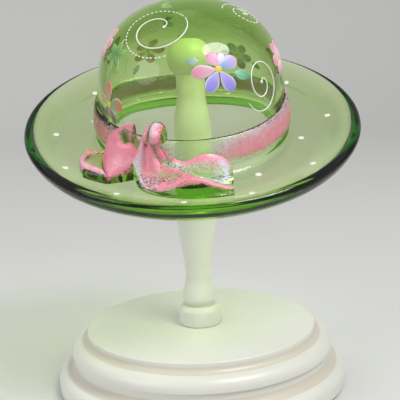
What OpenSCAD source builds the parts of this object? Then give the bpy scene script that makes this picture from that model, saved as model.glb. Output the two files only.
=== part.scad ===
/* [Stand base] */
// Diameter of the lower disc at its widest
base_lower_d = 204; // [196:1:230]
// Thickness of the lower disc
base_lower_h = 23; // [20:0.5:32]
// Height of the upright edge under the lower disc's moulding
base_lower_edge = 7; // [3:0.5:9]
// Diameter of the upper disc at its widest
base_upper_d = 184; // [150:1:186]
// Thickness of the upper disc
base_upper_h = 17; // [15:0.5:24]
// Height of the upright edge under the upper disc's moulding
base_upper_edge = 2.5; // [1:0.5:4]
// Radius of the rounded shoulder on the lower disc
lower_round_r = 6; // [4:0.5:8]
// Radius of the cove above the lower disc's shoulder
lower_cove_r = 5.5; // [3:0.5:7]
// Radius of the rounded shoulder on the upper disc
upper_round_r = 7.5; // [4:0.5:9]
// Radius of the cove above the upper disc's shoulder
upper_cove_r = 4; // [2:0.5:5]
// Rounding of the sharp wooden edges
arris_r = 0.8; // [0.4:0.1:1.2]
// Thickness of the felt under the base
felt_h = 2; // [1:0.5:4]
// Distance of the felt's edge inside the lower disc's edge
felt_inset = 7; // [3:1:20]

/* [Post] */
// Height of the turned post from the base to the knob
post_h = 181; // [165:1:220]
// Diameter of the drum at the post's foot
drum_d = 30; // [26:0.5:40]
// Height of the drum
drum_h = 14; // [10:0.5:20]
// Diameter of the groove above the drum
groove_d = 21; // [16:0.5:22]
// Diameter of the bulb above the groove
bulb_d = 23.8; // [22:0.2:28]
// Height of the bulb's widest point above the base
bulb_z = 19; // [17:0.5:26]
// Diameter of the neck above the bulb
neck_d = 18.4; // [14:0.2:21]
// Height of the neck above the base
neck_z = 35; // [30:1:44]
// Diameter of the shaft's swell
swell_d = 28.4; // [24:0.2:34]
// Height of the swell above the base
swell_z = 82; // [60:1:100]
// Diameter of the shaft's shoulder
shoulder_d = 25.4; // [22:0.2:28]
// Distance of the shoulder below the post's top
shoulder_drop = 40; // [32:1:60]
// Diameter of the post's top, where the knob sits
collar_d = 19; // [17:0.2:22]
// Distance of the slim collar's start below the post's top
collar_drop = 15; // [8:1:24]

/* [Knob] */
// Diameter of the ball knob
knob_d = 29; // [26:0.5:36]
// Diameter of the dowel between the post and the knob
dowel_d = 8; // [6:0.5:10]
// Depth of the dowel in the post
dowel_in_post = 16; // [10:1:24]
// Depth of the dowel in the knob
dowel_in_knob = 13; // [8:0.5:16]
// Free space at each end of the dowel
dowel_end_gap = 1; // [0.5:0.25:2]
// Diameter of the clear bumper on the knob
bumper_d = 14; // [10:0.5:18]
// Height of the bumper's straight side under its dome
bumper_side = 1; // [0.5:0.25:3]

/* [Post screw] */
// Length of the wood screw
screw_l = 64; // [56:1:76]
// Diameter of the screw's plain shank
screw_d = 4.8; // [4:0.1:5.5]
// Diameter of the screw's threaded end
screw_thread_d = 3.6; // [3:0.1:3.9]
// Diameter of the screw's head
screw_head_d = 9.4; // [8.2:0.2:11]
// Thickness of the screw's cone-shaped head
screw_head_h = 4; // [3:0.5:5]
// Diameter of the counterbore under the base
screw_bore_d = 13; // [12:0.5:18]
// Depth of the counterbore above the lower disc's underside
screw_bore_h = 4; // [2:0.5:8]
// Clearance round the screw's shank in the discs
screw_gap = 0.3; // [0.1:0.1:0.6]

/* [Hat] */
// Angle by which the hat tips towards its bow
hat_tilt = 20.5; // [10:0.5:24]
// Distance behind the crown's axis of the point that rests on the bumper
rest_offset = 18; // [8:0.5:24]
// Clearance between the bumper and the crown's inside
rest_gap = 0.3; // [0.2:0.05:0.5]
// Diameter of the brim
brim_d = 230; // [226:1:260]
// Thickness of the glass in the brim
brim_t = 8; // [6:0.5:10]
// Height of the rim above the flat of the brim
rim_rise = 9; // [7:0.5:13]
// Radius of the rim's rounded lip
lip_r = 3.5; // [2.5:0.25:4]
// Radius at which the brim starts to turn up
dish_r = 88; // [82:1:92]
// Radius of the curve under the rim
under_curve_r = 17; // [15:0.5:22]
// Diameter of the crown at the band's top edge
crown_d = 126; // [116:1:128]
// Diameter of the crown at its foot
crown_foot_d = 131; // [128:1:136]
// Height of the crown's top above the brim
crown_h = 88; // [78:1:100]
// Squareness of the dome, 2 for a plain ellipse
dome_power = 2.5; // [2:0.1:3]
// Thickness of the crown's wall
crown_t = 6; // [4:0.5:8]
// Thickness of the glass at the crown's top
crown_top_t = 14; // [6:0.5:16]
// Radius of the fillet between crown and brim
foot_fillet = 5; // [3:0.5:6]
// Radius of the rounded mouth under the crown
mouth_r = 6; // [4:0.5:8]

/* [Band and bow] */
// Height of the band's lower edge above the brim
band_z = 6.5; // [6.2:0.1:9]
// Width of the band
band_w = 19; // [14:0.5:22]
// Thickness of the band
band_t = 2.6; // [1.6:0.1:4]
// Hair gap between the bow's glass and what carries it
fuse_gap = 0.25; // [0.15:0.05:0.3]
// Height of the bow's draped ridge above the brim
ridge_h = 18; // [14:0.5:19]
// Depth of the draped ribbon from the band outwards
tail_w = 22; // [16:0.5:24]
// Distance of the right tail's cut end from the bow's centre line
tail_end_x = 24.5; // [18:0.5:34]
// Height of the left loop above the brim
loop_h = 38; // [28:0.5:44]
// Depth of the left loop from the band outwards
loop_w = 21; // [16:0.5:22]
// Depth of the left tail from the band outwards
left_tail_w = 26; // [23:0.5:27]
// Depth of the left tail beside the left loop
left_tail_inner_w = 21.5; // [18:0.5:26]
// Height of the left tail's raised edge above the brim
left_tail_h = 7; // [5:0.5:10]
// Height of the knot above the band
knot_h = 11.5; // [10:0.5:18]
// How far the knot stands out from the crown
knot_relief = 13; // [9:0.5:16]

/* [Hidden] */
$fn = 96;
dome_steps = 28;
wood = "#e9e8d6";
glass = "#5f9a3c";
pink = "#f3a3b4";

// Heights of the stand
base_lower_top = felt_h + base_lower_h;
base_top = base_lower_top + base_upper_h;
post_top = base_top + post_h;
knob_c = post_top + sqrt(pow(knob_d / 2, 2) - pow(collar_d / 2, 2));
bumper_z = knob_c + sqrt(pow(knob_d / 2, 2) - pow(bumper_d / 2, 2));
bumper_c = bumper_z + bumper_side;
screw_z = felt_h + screw_bore_h;
screw_in_post = screw_l - (base_top - screw_z);
screw_hole_d = screw_d + 2 * screw_gap;

// Radii and heights of the hat, in its own frame with the brim's flat at 0
brim_r = brim_d / 2;
crown_r = crown_d / 2;
crown_foot_r = crown_foot_d / 2;
band_top = band_z + band_w;
dome_h = crown_h - band_top;
cavity_r = crown_r - crown_t;
cavity_h = dome_h - crown_top_t;
lip_z = rim_rise - lip_r;
lip_c = brim_r - lip_r;
dish_curve_r = (pow(lip_c - dish_r, 2) + pow(lip_z, 2) - pow(lip_r, 2)) / (2 * (lip_r + lip_z));
under_r = lip_c - sqrt(pow(under_curve_r - lip_r, 2) - pow(lip_z + brim_t - under_curve_r, 2));
bow_seat_r = max(wall_r(band_z), wall_r(band_top)) + band_t + fuse_gap;

// Thickness left on the band's edges, as a share of its own
band_edge = 0.35;
// Squareness of the band's section
band_round = 6;

// Azimuths of the bow's pieces in degrees from the hat's front, left being negative
knot_az = [-25.6, -14.4];
folds_az = [-30, -15];
tail_start_az = -14.8;
// Left edge of the loop from the band outwards, and its right edge
loop_left_az = [-48.5, -49.2, -47.6, -42.5, -38];
loop_right_az = -30.3;
// Outer edge of the left tail from the band outwards
left_tail_az = [-59, -62, -61.5, -58.5, -49];
// Azimuths between which the ribbon's shares below are evenly spread
drape_az = [-30, 22];
// Outward reach of the ribbon, as shares of its depth
drape_reach = [0.4, 0.78, 0.96, 1.04, 1.1, 1.13, 1.15, 1.15, 1.16];
// Where the ribbon's valley, inner fold and outer roll run, as shares of its reach
drape_valley_at = [0.35, 0.3, 0.2, 0.28, 0.34, 0.41, 0.47, 0.55, 0.58];
drape_fold_at = [0.65, 0.5, 0.34, 0.45, 0.53, 0.61, 0.69, 0.8, 0.82];
drape_roll_at = [0.95, 0.86, 0.86, 0.82, 0.82, 0.81, 0.83, 0.88, 0.9];
// Heights at the band, in the valley, on the inner fold and on the outer roll, as shares of the ridge
drape_upper = [1.4, 1.38, 1.33, 0.86, 0.74, 0.94, 0.96, 0.79, 0.36];
drape_valley = [1.08, 0.92, 0.97, 0.72, 0.54, 0.38, 0.25, 0.17, 0.14];
drape_fold = [0.88, 0.64, 0.83, 0.81, 0.7, 0.55, 0.37, 0.21, 0.17];
drape_roll = [0.66, 0.25, 0.22, 0.36, 0.63, 0.63, 0.41, 0.22, 0.18];
// Height left on the ribbon's border, as a share of the outer roll
drape_border = 0.3;
// Azimuth that the creases fan out from, their crests' spacing at the band, their spread and their end
crease_az = -27.9;
crease_step_az = 4.4;
crease_spread = 3.4;
crease_end_az = -9;
crease_h = 2;
// Height of the left loop's top edge from its outer edge to the knot, as shares of its height
loop_top = [0.67, 0.7, 0.77, 0.87, 0.94, 0.98, 0.97];
// Height of the left loop from the band outwards, as shares of its top edge's height
loop_drop = [0.97, 1, 0.88, 0.7, 0.53, 0.4, 0.3, 0.14];
// Height of the left loop's left edge from the band outwards, as shares of its own
loop_left_edge = [0.95, 0.65, 0.42, 0.36, 0.36];
// Where across the left loop it begins to run into the folds, at the band and at its outer edge
loop_join = [0.92, 0.6];
// Squareness of the left loop across its width
loop_round = 2.8;
// Where the left loop opens, across and outwards, and how wide and deep the hollow is
loop_hollow = [0.75, 0.3];
loop_hollow_w = [0.24, 0.15];
loop_hollow_h = 8;
// Height inside the left tail's raised edge, as a share of that edge
left_tail_floor = 0.7;
// Distance of the left tail's raised edge from its border and the height left on that border, as shares
left_tail_rim = 0.14;
left_tail_edge = 0.35;
// Squareness of the left tail's border
left_tail_round = 8;
// Where the crease of the knot runs, across its width
knot_crease = 0.3;
// Relief of the knot's smaller lump, as a share of the other one
knot_small = 0.8;
// Squareness of the knot across its width and up its height
knot_round = [2.5, 3];
// Height and relief of the knot's edges, as shares of its own
knot_edge = 0.4;
// Least thickness of the bow's edges
edge_t = 1.2;

// Value at t between two ends
function mix(a, b, t) = a + (b - a) * t;

// Value between two ends that leaves and meets them level
function ease(a, b, t) = mix(a, b, t * t * (3 - 2 * t));

// Value at t from 0 to 1 of a smooth curve through evenly spaced values
function curve(t, p) =
    let (n = len(p) - 1, x = t * n, i = min(floor(x), n - 1), f = x - i)
    let (a = p[max(i - 1, 0)], b = p[i], c = p[i + 1], d = p[min(i + 2, n)])
    b + f * (c - a + f * (2 * a - 5 * b + 4 * c - d + f * (3 * (b - c) + d - a))) / 2;

// Points of an arc about c from angle a to angle b
function arc(c, r, a, b, n = 10) = [for (i = [0:n]) c + r * [cos(mix(a, b, i / n)), sin(mix(a, b, i / n))]];

// Share of full height left at t, falling off at both ends
function shoulder(t, power) = sqrt(1 - pow(abs(2 * t - 1), power));

// Radius of the crown's outer wall below the dome
function wall_r(z) = mix(crown_foot_r, crown_r, (z - foot_fillet) / (band_top - foot_fillet));

// Quarter outline of a dome from its top to its widest circle
function dome(r, h) =
    [for (i = [0:dome_steps])
        let (k = 90 * (1 - i / dome_steps))
        [r * pow(cos(k), 2 / dome_power), h * pow(sin(k), 2 / dome_power)]];

// Height of the crown's inside above the band's top edge at a distance from its axis
function cavity_z(r) = cavity_h * pow(1 - pow(r / cavity_r, dome_power), 1 / dome_power);

// Slope of the crown's inside at a distance from its axis
function cavity_slope(r) =
    atan(cavity_h / cavity_r * pow(r / cavity_r / (cavity_z(r) / cavity_h), dome_power - 1));

// Height of the brim's upper face, with its fillet and its dish
function brim_z(r) =
    let (fillet_c = crown_foot_r + foot_fillet)
    r < fillet_c ? foot_fillet - sqrt(pow(foot_fillet, 2) - pow(fillet_c - r, 2))
    : r < dish_r ? 0
    : dish_curve_r - sqrt(pow(dish_curve_r, 2) - pow(r - dish_r, 2));

// Radius of the crown's outside at a height above the band
function dome_r(z) = crown_r * pow(1 - pow((z - band_top) / dome_h, dome_power), 1 / dome_power);

// Point at an azimuth from the front, a radius and a height
function polar(az, r, z) = [r * sin(az), -r * cos(az), z];

// Centre of the bumper's dome in the hat's frame, with the crown resting on it
rest_slope = cavity_slope(rest_offset);
rest_reach = bumper_d / 2 + rest_gap;
rest_y = rest_offset - rest_reach * sin(rest_slope);
rest_z = band_top + cavity_z(rest_offset) - rest_reach * cos(rest_slope);

// Sets the hat's own frame on the stand
module on_stand() {
    shift_y = rest_z * sin(hat_tilt) - rest_y * cos(hat_tilt);
    shift_z = bumper_c - rest_y * sin(hat_tilt) - rest_z * cos(hat_tilt);
    translate([0, shift_y, shift_z]) rotate([hat_tilt, 0, 0]) children();
}

// Solid between a shaped face and the seat that carries it, both given over u and v from 0 to 1
module relief(nu, nv, face, seat) {
    rows = nv + 1;
    below = (nu + 1) * rows;
    points = concat(
        [for (i = [0:nu], j = [0:nv]) face(i / nu, j / nv)],
        [for (i = [0:nu], j = [0:nv]) seat(i / nu, j / nv)]);
    at = function (i, j) i * rows + j;
    quads = concat(
        [for (i = [0:nu - 1], j = [0:nv - 1]) [at(i, j), at(i + 1, j), at(i + 1, j + 1), at(i, j + 1)]],
        [for (i = [0:nu - 1], j = [0:nv - 1])
            below * [1, 1, 1, 1] + [at(i, j + 1), at(i + 1, j + 1), at(i + 1, j), at(i, j)]],
        [for (i = [0:nu - 1]) [at(i + 1, 0), at(i, 0), below + at(i, 0), below + at(i + 1, 0)]],
        [for (i = [0:nu - 1]) [at(i, nv), at(i + 1, nv), below + at(i + 1, nv), below + at(i, nv)]],
        [for (j = [0:nv - 1]) [at(0, j), at(0, j + 1), below + at(0, j + 1), below + at(0, j)]],
        [for (j = [0:nv - 1]) [at(nu, j + 1), at(nu, j), below + at(nu, j), below + at(nu, j + 1)]]);
    polyhedron(points, [for (q = quads, t = [[0, 1, 2], [0, 2, 3]]) [for (k = t) q[k]]]);
}

// Turned disc with a rounded shoulder, a cove and an upright top edge
module moulded_disc(r, h, edge, round_r, cove_r) {
    top_r = r - round_r - cove_r;
    cove_top = edge + round_r + cove_r;
    rotate_extrude() polygon(concat(
        [[0, 0], [r - arris_r, 0]],
        arc([r - arris_r, arris_r], arris_r, -90, 0, 4),
        arc([r - round_r, edge], round_r, 0, 90),
        arc([r - round_r, cove_top], cove_r, 270, 180),
        arc([top_r - arris_r, h - arris_r], arris_r, 0, 90, 4),
        [[0, h]]));
}

module base_felt() {
    color("#4c5a4a") cylinder(d = base_lower_d - 2 * felt_inset, h = felt_h);
}

module base_lower() {
    color(wood) difference() {
        translate([0, 0, felt_h])
            moulded_disc(base_lower_d / 2, base_lower_h, base_lower_edge, lower_round_r, lower_cove_r);
        cylinder(d = screw_hole_d, h = base_top);
        cylinder(d = screw_bore_d, h = screw_z);
        translate([0, 0, screw_z])
            cylinder(d1 = screw_head_d + 2 * screw_gap, d2 = screw_hole_d, h = screw_head_h);
    }
}

module base_upper() {
    color(wood) difference() {
        translate([0, 0, base_lower_top])
            moulded_disc(base_upper_d / 2, base_upper_h, base_upper_edge, upper_round_r, upper_cove_r);
        cylinder(d = screw_hole_d, h = base_top + 1);
    }
}

module post_screw() {
    color("#b7b3a4") translate([0, 0, screw_z]) {
        cylinder(d1 = screw_head_d, d2 = screw_d, h = screw_head_h);
        translate([0, 0, screw_head_h]) cylinder(d = screw_d, h = base_top - screw_z - screw_head_h);
        translate([0, 0, base_top - screw_z]) cylinder(d = screw_thread_d, h = screw_in_post);
    }
}

module post() {
    groove_z = drum_h + 1;
    shoulder_z = post_h - shoulder_drop;
    collar_z = post_h - collar_drop;
    drum_r = drum_d / 2;
    drum_round = (drum_d - groove_d) / 2;
    swells = [[groove_z, groove_d], [bulb_z, bulb_d], [neck_z, neck_d], [swell_z, swell_d],
        [shoulder_z, shoulder_d], [collar_z, collar_d]];
    steps = 10;
    color(wood) difference() {
        translate([0, 0, base_top]) rotate_extrude() polygon(concat(
            [[0, 0], [drum_r - 2 * arris_r, 0]],
            arc([drum_r - 2 * arris_r, 2 * arris_r], 2 * arris_r, -90, 0, 4),
            arc([drum_r - drum_round, drum_h - drum_round], drum_round, 0, 90),
            [for (k = [0:len(swells) - 2], i = [0:steps - 1])
                let (a = swells[k], b = swells[k + 1], t = i / steps)
                [ease(a[1], b[1], t) / 2, mix(a[0], b[0], t)]],
            [[collar_d / 2, collar_z], [collar_d / 2, post_h], [0, post_h]]));
        translate([0, 0, base_top - 1]) cylinder(d = screw_thread_d, h = screw_in_post + 2);
        translate([0, 0, post_top - dowel_in_post - dowel_end_gap]) cylinder(d = dowel_d, h = post_h);
    }
}

module knob_dowel() {
    color("#c9a877")
        translate([0, 0, post_top - dowel_in_post])
            cylinder(d = dowel_d, h = dowel_in_post + dowel_in_knob);
}

module knob() {
    r = knob_d / 2;
    low = asin((knob_c - post_top) / r);
    high = asin((bumper_z - knob_c) / r);
    color(wood) difference() {
        rotate_extrude()
            polygon(concat([[0, post_top]], arc([0, knob_c], r, -low, high, 24), [[0, bumper_z]]));
        translate([0, 0, post_top - 1]) cylinder(d = dowel_d, h = dowel_in_knob + dowel_end_gap + 1);
    }
}

module knob_bumper() {
    color("#dfe6e0") translate([0, 0, bumper_z]) rotate_extrude()
        polygon(concat([[0, 0], [bumper_d / 2, 0]], arc([0, bumper_side], bumper_d / 2, 0, 90, 12)));
}

module hat_shell() {
    lip_top = atan2(dish_curve_r - lip_z, dish_r - lip_c);
    lip_low = atan2(lip_z + brim_t - under_curve_r, lip_c - under_r);
    mouth_c = [crown_foot_r - crown_t + mouth_r, mouth_r - brim_t];
    color(glass, 0.5) on_stand() rotate_extrude() polygon(concat(
        [for (p = dome(crown_r, dome_h)) p + [0, band_top]],
        arc([crown_foot_r + foot_fillet, foot_fillet], foot_fillet, 180, 270),
        arc([dish_r, dish_curve_r], dish_curve_r, 270, lip_top + 180),
        arc([lip_c, lip_z], lip_r, lip_top, lip_low, 14),
        arc([under_r, under_curve_r - brim_t], under_curve_r, lip_low, -90),
        arc(mouth_c, mouth_r, -90, -180),
        [for (i = [dome_steps:-1:0]) dome(cavity_r, cavity_h)[i] + [0, band_top]]));
}

module hat_band() {
    color(pink) on_stand() rotate_extrude() polygon(concat(
        [[wall_r(band_top), band_top], [wall_r(band_z), band_z]],
        [for (k = [0:15:180])
            let (t = (1 - cos(k)) / 2, z = mix(band_z, band_top, t))
            [wall_r(z) + band_t * mix(shoulder(t, band_round), 1, band_edge), z]]));
}

// Outer limit and height of the draped ribbon at an azimuth, and at a share t of its reach
function drape_s(az) = (az - drape_az[0]) / (drape_az[1] - drape_az[0]);
function drape_r(az, t) = bow_seat_r + tail_w * curve(drape_s(az), drape_reach) * t;
function drape_crease(az, t) =
    crease_h * (1 - t) * (cos(360 * (az - crease_az) / (crease_step_az * (1 + crease_spread * t))) - 1)
    * min(1, max(0, (crease_end_az - az) / crease_step_az));
function drape_z(az, t) =
    let (s = drape_s(az), roll = curve(s, drape_roll))
    let (at = [0, curve(s, drape_valley_at), curve(s, drape_fold_at), curve(s, drape_roll_at), 1])
    let (k = t < at[1] ? 0 : t < at[2] ? 1 : t < at[3] ? 2 : 3)
    let (x = (k + (t - at[k]) / (at[k + 1] - at[k])) / 4)
    let (upper = curve(s, drape_upper), valley = curve(s, drape_valley), fold = curve(s, drape_fold))
    let (levels = [upper, valley, fold, roll, drape_border * roll])
    min(ridge_h * curve(x, levels) + drape_crease(az, t), band_top);

// Solid under the draped ribbon between two edges given over t
module drape(nu, nv, start_az, end_az) {
    az = function (u, t) mix(start_az, end_az(t), u);
    seat = function (u, t)
        let (r = drape_r(az(u, t), t))
        polar(az(u, t), r, brim_z(r) + fuse_gap);
    face = function (u, t)
        let (p = seat(u, t))
        [p.x, p.y, max(drape_z(az(u, t), t), p.z + edge_t)];
    relief(nu, nv, face, seat);
}

module bow_knot() {
    lump = function (u)
        u < knot_crease ? knot_small * sin(180 * u / knot_crease)
        : sin(180 * (u - knot_crease) / (1 - knot_crease));
    seat_r = function (z) dome_r(z) + fuse_gap;
    level = function (u, v)
        band_top + fuse_gap + knot_h * (1 - v) * mix(shoulder(u, knot_round[0]), 1, knot_edge);
    az = function (u) mix(knot_az[0], knot_az[1], u);
    bulge = function (u, v)
        (knot_relief - edge_t) * mix(sqrt(lump(u)), 1, knot_edge) * shoulder(v, knot_round[1]);
    seat = function (u, v) polar(az(u), seat_r(level(u, v)), level(u, v));
    face = function (u, v) polar(az(u), seat_r(level(u, v)) + edge_t + bulge(u, v), level(u, v));
    color(pink) on_stand() relief(20, 12, face, seat);
}

module bow_left_loop() {
    out_r = function (u, v) mix(bow_seat_r + loop_w * v, drape_r(folds_az[0], v), u);
    az = function (u, v) mix(curve(v, loop_left_az), loop_right_az, u);
    seat_z = function (u, v) brim_z(out_r(u, v)) + fuse_gap;
    hollow = function (u, v)
        loop_hollow_h * exp(-pow((u - loop_hollow[0]) / loop_hollow_w[0], 2)
            - pow((v - loop_hollow[1]) / loop_hollow_w[1], 2));
    puff_z = function (u, v)
        (loop_h * curve(u, loop_top) * curve(v, loop_drop) - hollow(u, v))
        * mix(shoulder(u, loop_round), 1, mix(curve(v, loop_left_edge), 1, u));
    top_z = function (u, v)
        let (start = mix(loop_join[0], loop_join[1], v))
        ease(puff_z(u, v), drape_z(folds_az[0], v), max(0, (u - start) / (1 - start)));
    seat = function (u, v) polar(az(u, v), out_r(u, v), seat_z(u, v));
    face = function (u, v) polar(az(u, v), out_r(u, v), max(top_z(u, v), seat_z(u, v) + edge_t));
    color(pink) on_stand() relief(24, 16, face, seat);
}

module bow_left_tail() {
    out_r = function (u, v) bow_seat_r + v * mix(left_tail_w, left_tail_inner_w, u);
    inner_az = function (v) curve(min(v * left_tail_inner_w / loop_w, 1), loop_left_az) - fuse_gap;
    az = function (u, v) mix(curve(v, left_tail_az), inner_az(v), u);
    seat_z = function (u, v) brim_z(out_r(u, v)) + fuse_gap;
    rim = function (u, v)
        let (across = (u - left_tail_rim) / left_tail_rim)
        let (outwards = (1 - left_tail_rim - v) / left_tail_rim)
        max(exp(-across * across), exp(-outwards * outwards));
    edge = function (t) mix(shoulder(t, left_tail_round), 1, left_tail_edge);
    top_z = function (u, v) left_tail_h * mix(left_tail_floor, 1, rim(u, v)) * edge(u) * edge(v);
    seat = function (u, v) polar(az(u, v), out_r(u, v), seat_z(u, v));
    face = function (u, v) polar(az(u, v), out_r(u, v), seat_z(u, v) + max(top_z(u, v), edge_t));
    color(pink) on_stand() relief(20, 16, face, seat);
}

module bow_center_folds() {
    color(pink) on_stand() drape(36, 18, folds_az[0], function (t) folds_az[1]);
}

module bow_right_tail() {
    reach = bow_seat_r + tail_w * drape_reach[len(drape_reach) - 2];
    color(pink) on_stand()
        drape(32, 20, tail_start_az, function (t) asin(tail_end_x / mix(bow_seat_r, reach, t)));
}

base_felt();
base_lower();
base_upper();
post_screw();
post();
knob_dowel();
knob();
knob_bumper();
hat_shell();
hat_band();
bow_knot();
bow_left_loop();
bow_left_tail();
bow_center_folds();
bow_right_tail();
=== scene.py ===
import logging
import math
from dataclasses import dataclass, field
from enum import Enum
from typing import Any, Callable, Sequence

import bmesh
import bpy
import numpy as np
from bpy.types import Material, Mesh, Node, NodeSocket, NodeTree, Object
from mathutils import Matrix, Vector


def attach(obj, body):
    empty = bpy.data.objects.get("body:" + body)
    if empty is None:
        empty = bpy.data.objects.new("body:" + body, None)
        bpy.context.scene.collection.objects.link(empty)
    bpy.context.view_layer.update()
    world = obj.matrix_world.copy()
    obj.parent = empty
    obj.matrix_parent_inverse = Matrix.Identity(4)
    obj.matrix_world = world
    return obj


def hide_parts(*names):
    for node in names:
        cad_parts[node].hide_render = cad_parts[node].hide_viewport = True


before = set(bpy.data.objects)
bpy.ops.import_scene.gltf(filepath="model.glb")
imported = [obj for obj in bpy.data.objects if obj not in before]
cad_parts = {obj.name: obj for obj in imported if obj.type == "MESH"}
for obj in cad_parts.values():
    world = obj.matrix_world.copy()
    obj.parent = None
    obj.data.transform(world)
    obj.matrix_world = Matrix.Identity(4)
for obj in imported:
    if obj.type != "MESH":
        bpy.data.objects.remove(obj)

LOG = logging.getLogger("glass_hat")
MM = 0.001
TINY = 1e-6
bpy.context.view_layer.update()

Value = float | np.ndarray
Pair = tuple[float, float]
Point = tuple[float, float, float]
Colour = tuple[float, float, float]
Steps = tuple[float, ...]
Table = tuple[Steps, Steps]
Profile = list[Pair]
Faces = list[tuple[int, ...]]
Inputs = dict[str | int, Any]
Sockets = dict[str, NodeSocket]
Settled = tuple[np.ndarray, np.ndarray]


class Body(Enum):
    """The two bodies that move against each other."""

    STAND = "stand"
    HAT = "hat"


class Slot(Enum):
    """The record's material slots, named for the scene's own pieces; the pieces pass them along,
    but nothing assigns them.
    """

    PAINTED_WOOD = "painted_wood"
    FELT = "felt"
    CLEAR_RUBBER = "clear_rubber"
    GREEN_GLASS = "green_glass"
    PAINTED_GLASS = "painted_glass"


class StampKind(Enum):
    """Brush marks that repeat over the hat."""

    PETAL = "petals"
    LEAF = "leaves"
    DASH = "dashes"
    DOT = "dots"


def srgb(red: int, green: int, blue: int) -> Colour:
    """Linear colour of a screen colour with channels from 0 to 255."""
    shares = [c / 255 for c in (red, green, blue)]
    return tuple(c / 12.92 if c <= 0.04045 else ((c + 0.055) / 1.055) ** 2.4 for c in shares)


def mix(a: Value, b: Value, t: Value) -> Value:
    """Value at t between a and b."""
    return a + (b - a) * t


def ease(a: Value, b: Value, t: Value) -> Value:
    """Value at t between a and b that leaves and meets them level."""
    return mix(a, b, t * t * (3 - 2 * t))


def shoulder(t: Value, power: float) -> np.ndarray:
    """Share of full height left at t, falling off at both ends."""
    return np.sqrt(np.maximum(1 - np.abs(2 * np.asarray(t) - 1) ** power, 0))


def bump(x: Value, centre: float, width: float) -> np.ndarray:
    """Bell-shaped share, 1 at the centre."""
    return np.exp(-(((np.asarray(x) - centre) / width) ** 2))


def curve(t: Value, values: Sequence[Value]) -> np.ndarray:
    """Smooth curve through evenly spaced values.

    Args:
        t: Where to read it, 0 at the first value and 1 at the last.
        values: The values that it passes through, numbers or arrays of t's shape.

    Returns:
        The curve's values at t.
    """
    t, p = np.asarray(t, float), np.asarray(values, float)
    if p.ndim == 1:
        p = p.reshape(-1, *[1] * t.ndim)
    n = len(p) - 1
    p = np.broadcast_to(p, (n + 1, *t.shape))
    i = np.clip(np.floor(t * n).astype(int), 0, n - 1)
    f = t * n - i
    near = (np.clip(i + k, 0, n)[None] for k in (-1, 0, 1, 2))
    a, b, c, d = (np.take_along_axis(p, k, 0)[0] for k in near)
    return b + f * (c - a + f * (2 * a - 5 * b + 4 * c - d + f * (3 * (b - c) + d - a))) / 2


def arc(cx: float, cz: float, r: float, start: float, end: float, n: int = 16) -> Profile:
    """Points of an arc about the centre (cx, cz), from start to end in degrees in n steps."""
    angles = np.radians(np.linspace(start, end, n + 1))
    return [(cx + r * math.cos(a), cz + r * math.sin(a)) for a in angles]


def polar(az: Value, r: Value, z: Value) -> np.ndarray:
    """Points at azimuths in degrees from the hat's front, radii and heights."""
    a = np.radians(az)
    return np.stack(np.broadcast_arrays(r * np.sin(a), -r * np.cos(a), z), -1)


def link(name: str, data: Any) -> Object:
    """Puts a mesh, a lamp or a camera into the scene.

    Args:
        name: The object's name.
        data: What it holds.

    Returns:
        The object.
    """
    obj = bpy.data.objects.new(name, data)
    bpy.context.scene.collection.objects.link(obj)
    return obj


def turn_outwards(mesh: Mesh, merge: float = 0.0) -> None:
    """Turns the faces of closed shapes outwards and makes them smooth.

    Args:
        mesh: The mesh.
        merge: Distance in metres up to which points are merged first, or 0 for none.
    """
    bm = bmesh.new()
    bm.from_mesh(mesh)
    if merge:
        bmesh.ops.remove_doubles(bm, verts=bm.verts, dist=merge)
    bmesh.ops.recalc_face_normals(bm, faces=bm.faces)
    bm.to_mesh(mesh)
    bm.free()
    mesh.polygons.foreach_set("use_smooth", [True] * len(mesh.polygons))


def mesh_object(name: str, points: np.ndarray, faces: Faces, sharp: float) -> Object:
    """Smooth closed object from points in millimetres.

    Args:
        name: The piece's name.
        points: One row for each vertex.
        faces: Vertex numbers of each face.
        sharp: Angle in degrees past which an edge stays crisp.

    Returns:
        The object, linked into the scene with its normals outwards.
    """
    mesh = bpy.data.meshes.new(name)
    mesh.from_pydata((np.asarray(points) * MM).tolist(), [], faces)
    turn_outwards(mesh)
    mesh.set_sharp_from_angle(angle=math.radians(sharp))
    return link(name, mesh)


def set_values(mesh: Mesh, name: str, values: np.ndarray) -> None:
    """Stores one number, vector or colour for each vertex.

    Args:
        mesh: The mesh that gets the attribute.
        name: The attribute's name.
        values: One row for each vertex; its width picks the kind.
    """
    kinds = {1: ("FLOAT", "value"), 3: ("FLOAT_VECTOR", "vector"), 4: ("FLOAT_COLOR", "color")}
    rows = np.asarray(values, np.float32)
    kind, key = kinds[1 if rows.ndim == 1 else rows.shape[1]]
    mesh.attributes.new(name, kind, "POINT").data.foreach_set(key, rows.ravel())


def lathe(profile: Profile, segments: int, ring: bool) -> tuple[np.ndarray, Faces]:
    """Turns a profile about the upright axis.

    Args:
        profile: Radii and heights in order.
        segments: Number of steps round the axis.
        ring: True for a closed outline clear of the axis, False for one that starts and ends on it.

    Returns:
        Points in millimetres and faces.
    """
    angles = np.linspace(0, 2 * np.pi, segments, endpoint=False)
    points: list[Point] = []
    rows: list[list[int]] = []
    for r, z in profile:
        first = len(points)
        if r < TINY:
            points.append((0, 0, z))
            rows.append([first] * segments)
        else:
            points += [(r * math.cos(a), r * math.sin(a), z) for a in angles]
            rows.append(list(range(first, first + segments)))
    pairs = list(zip(rows, rows[1:])) + ([(rows[-1], rows[0])] if ring else [])
    faces: Faces = []
    for low, high in pairs:
        for i in range(segments):
            j = (i + 1) % segments
            corners = dict.fromkeys((low[i], low[j], high[j], high[i]))
            if len(corners) > 2:
                faces.append(tuple(corners))
    return np.array(points), faces


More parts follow.
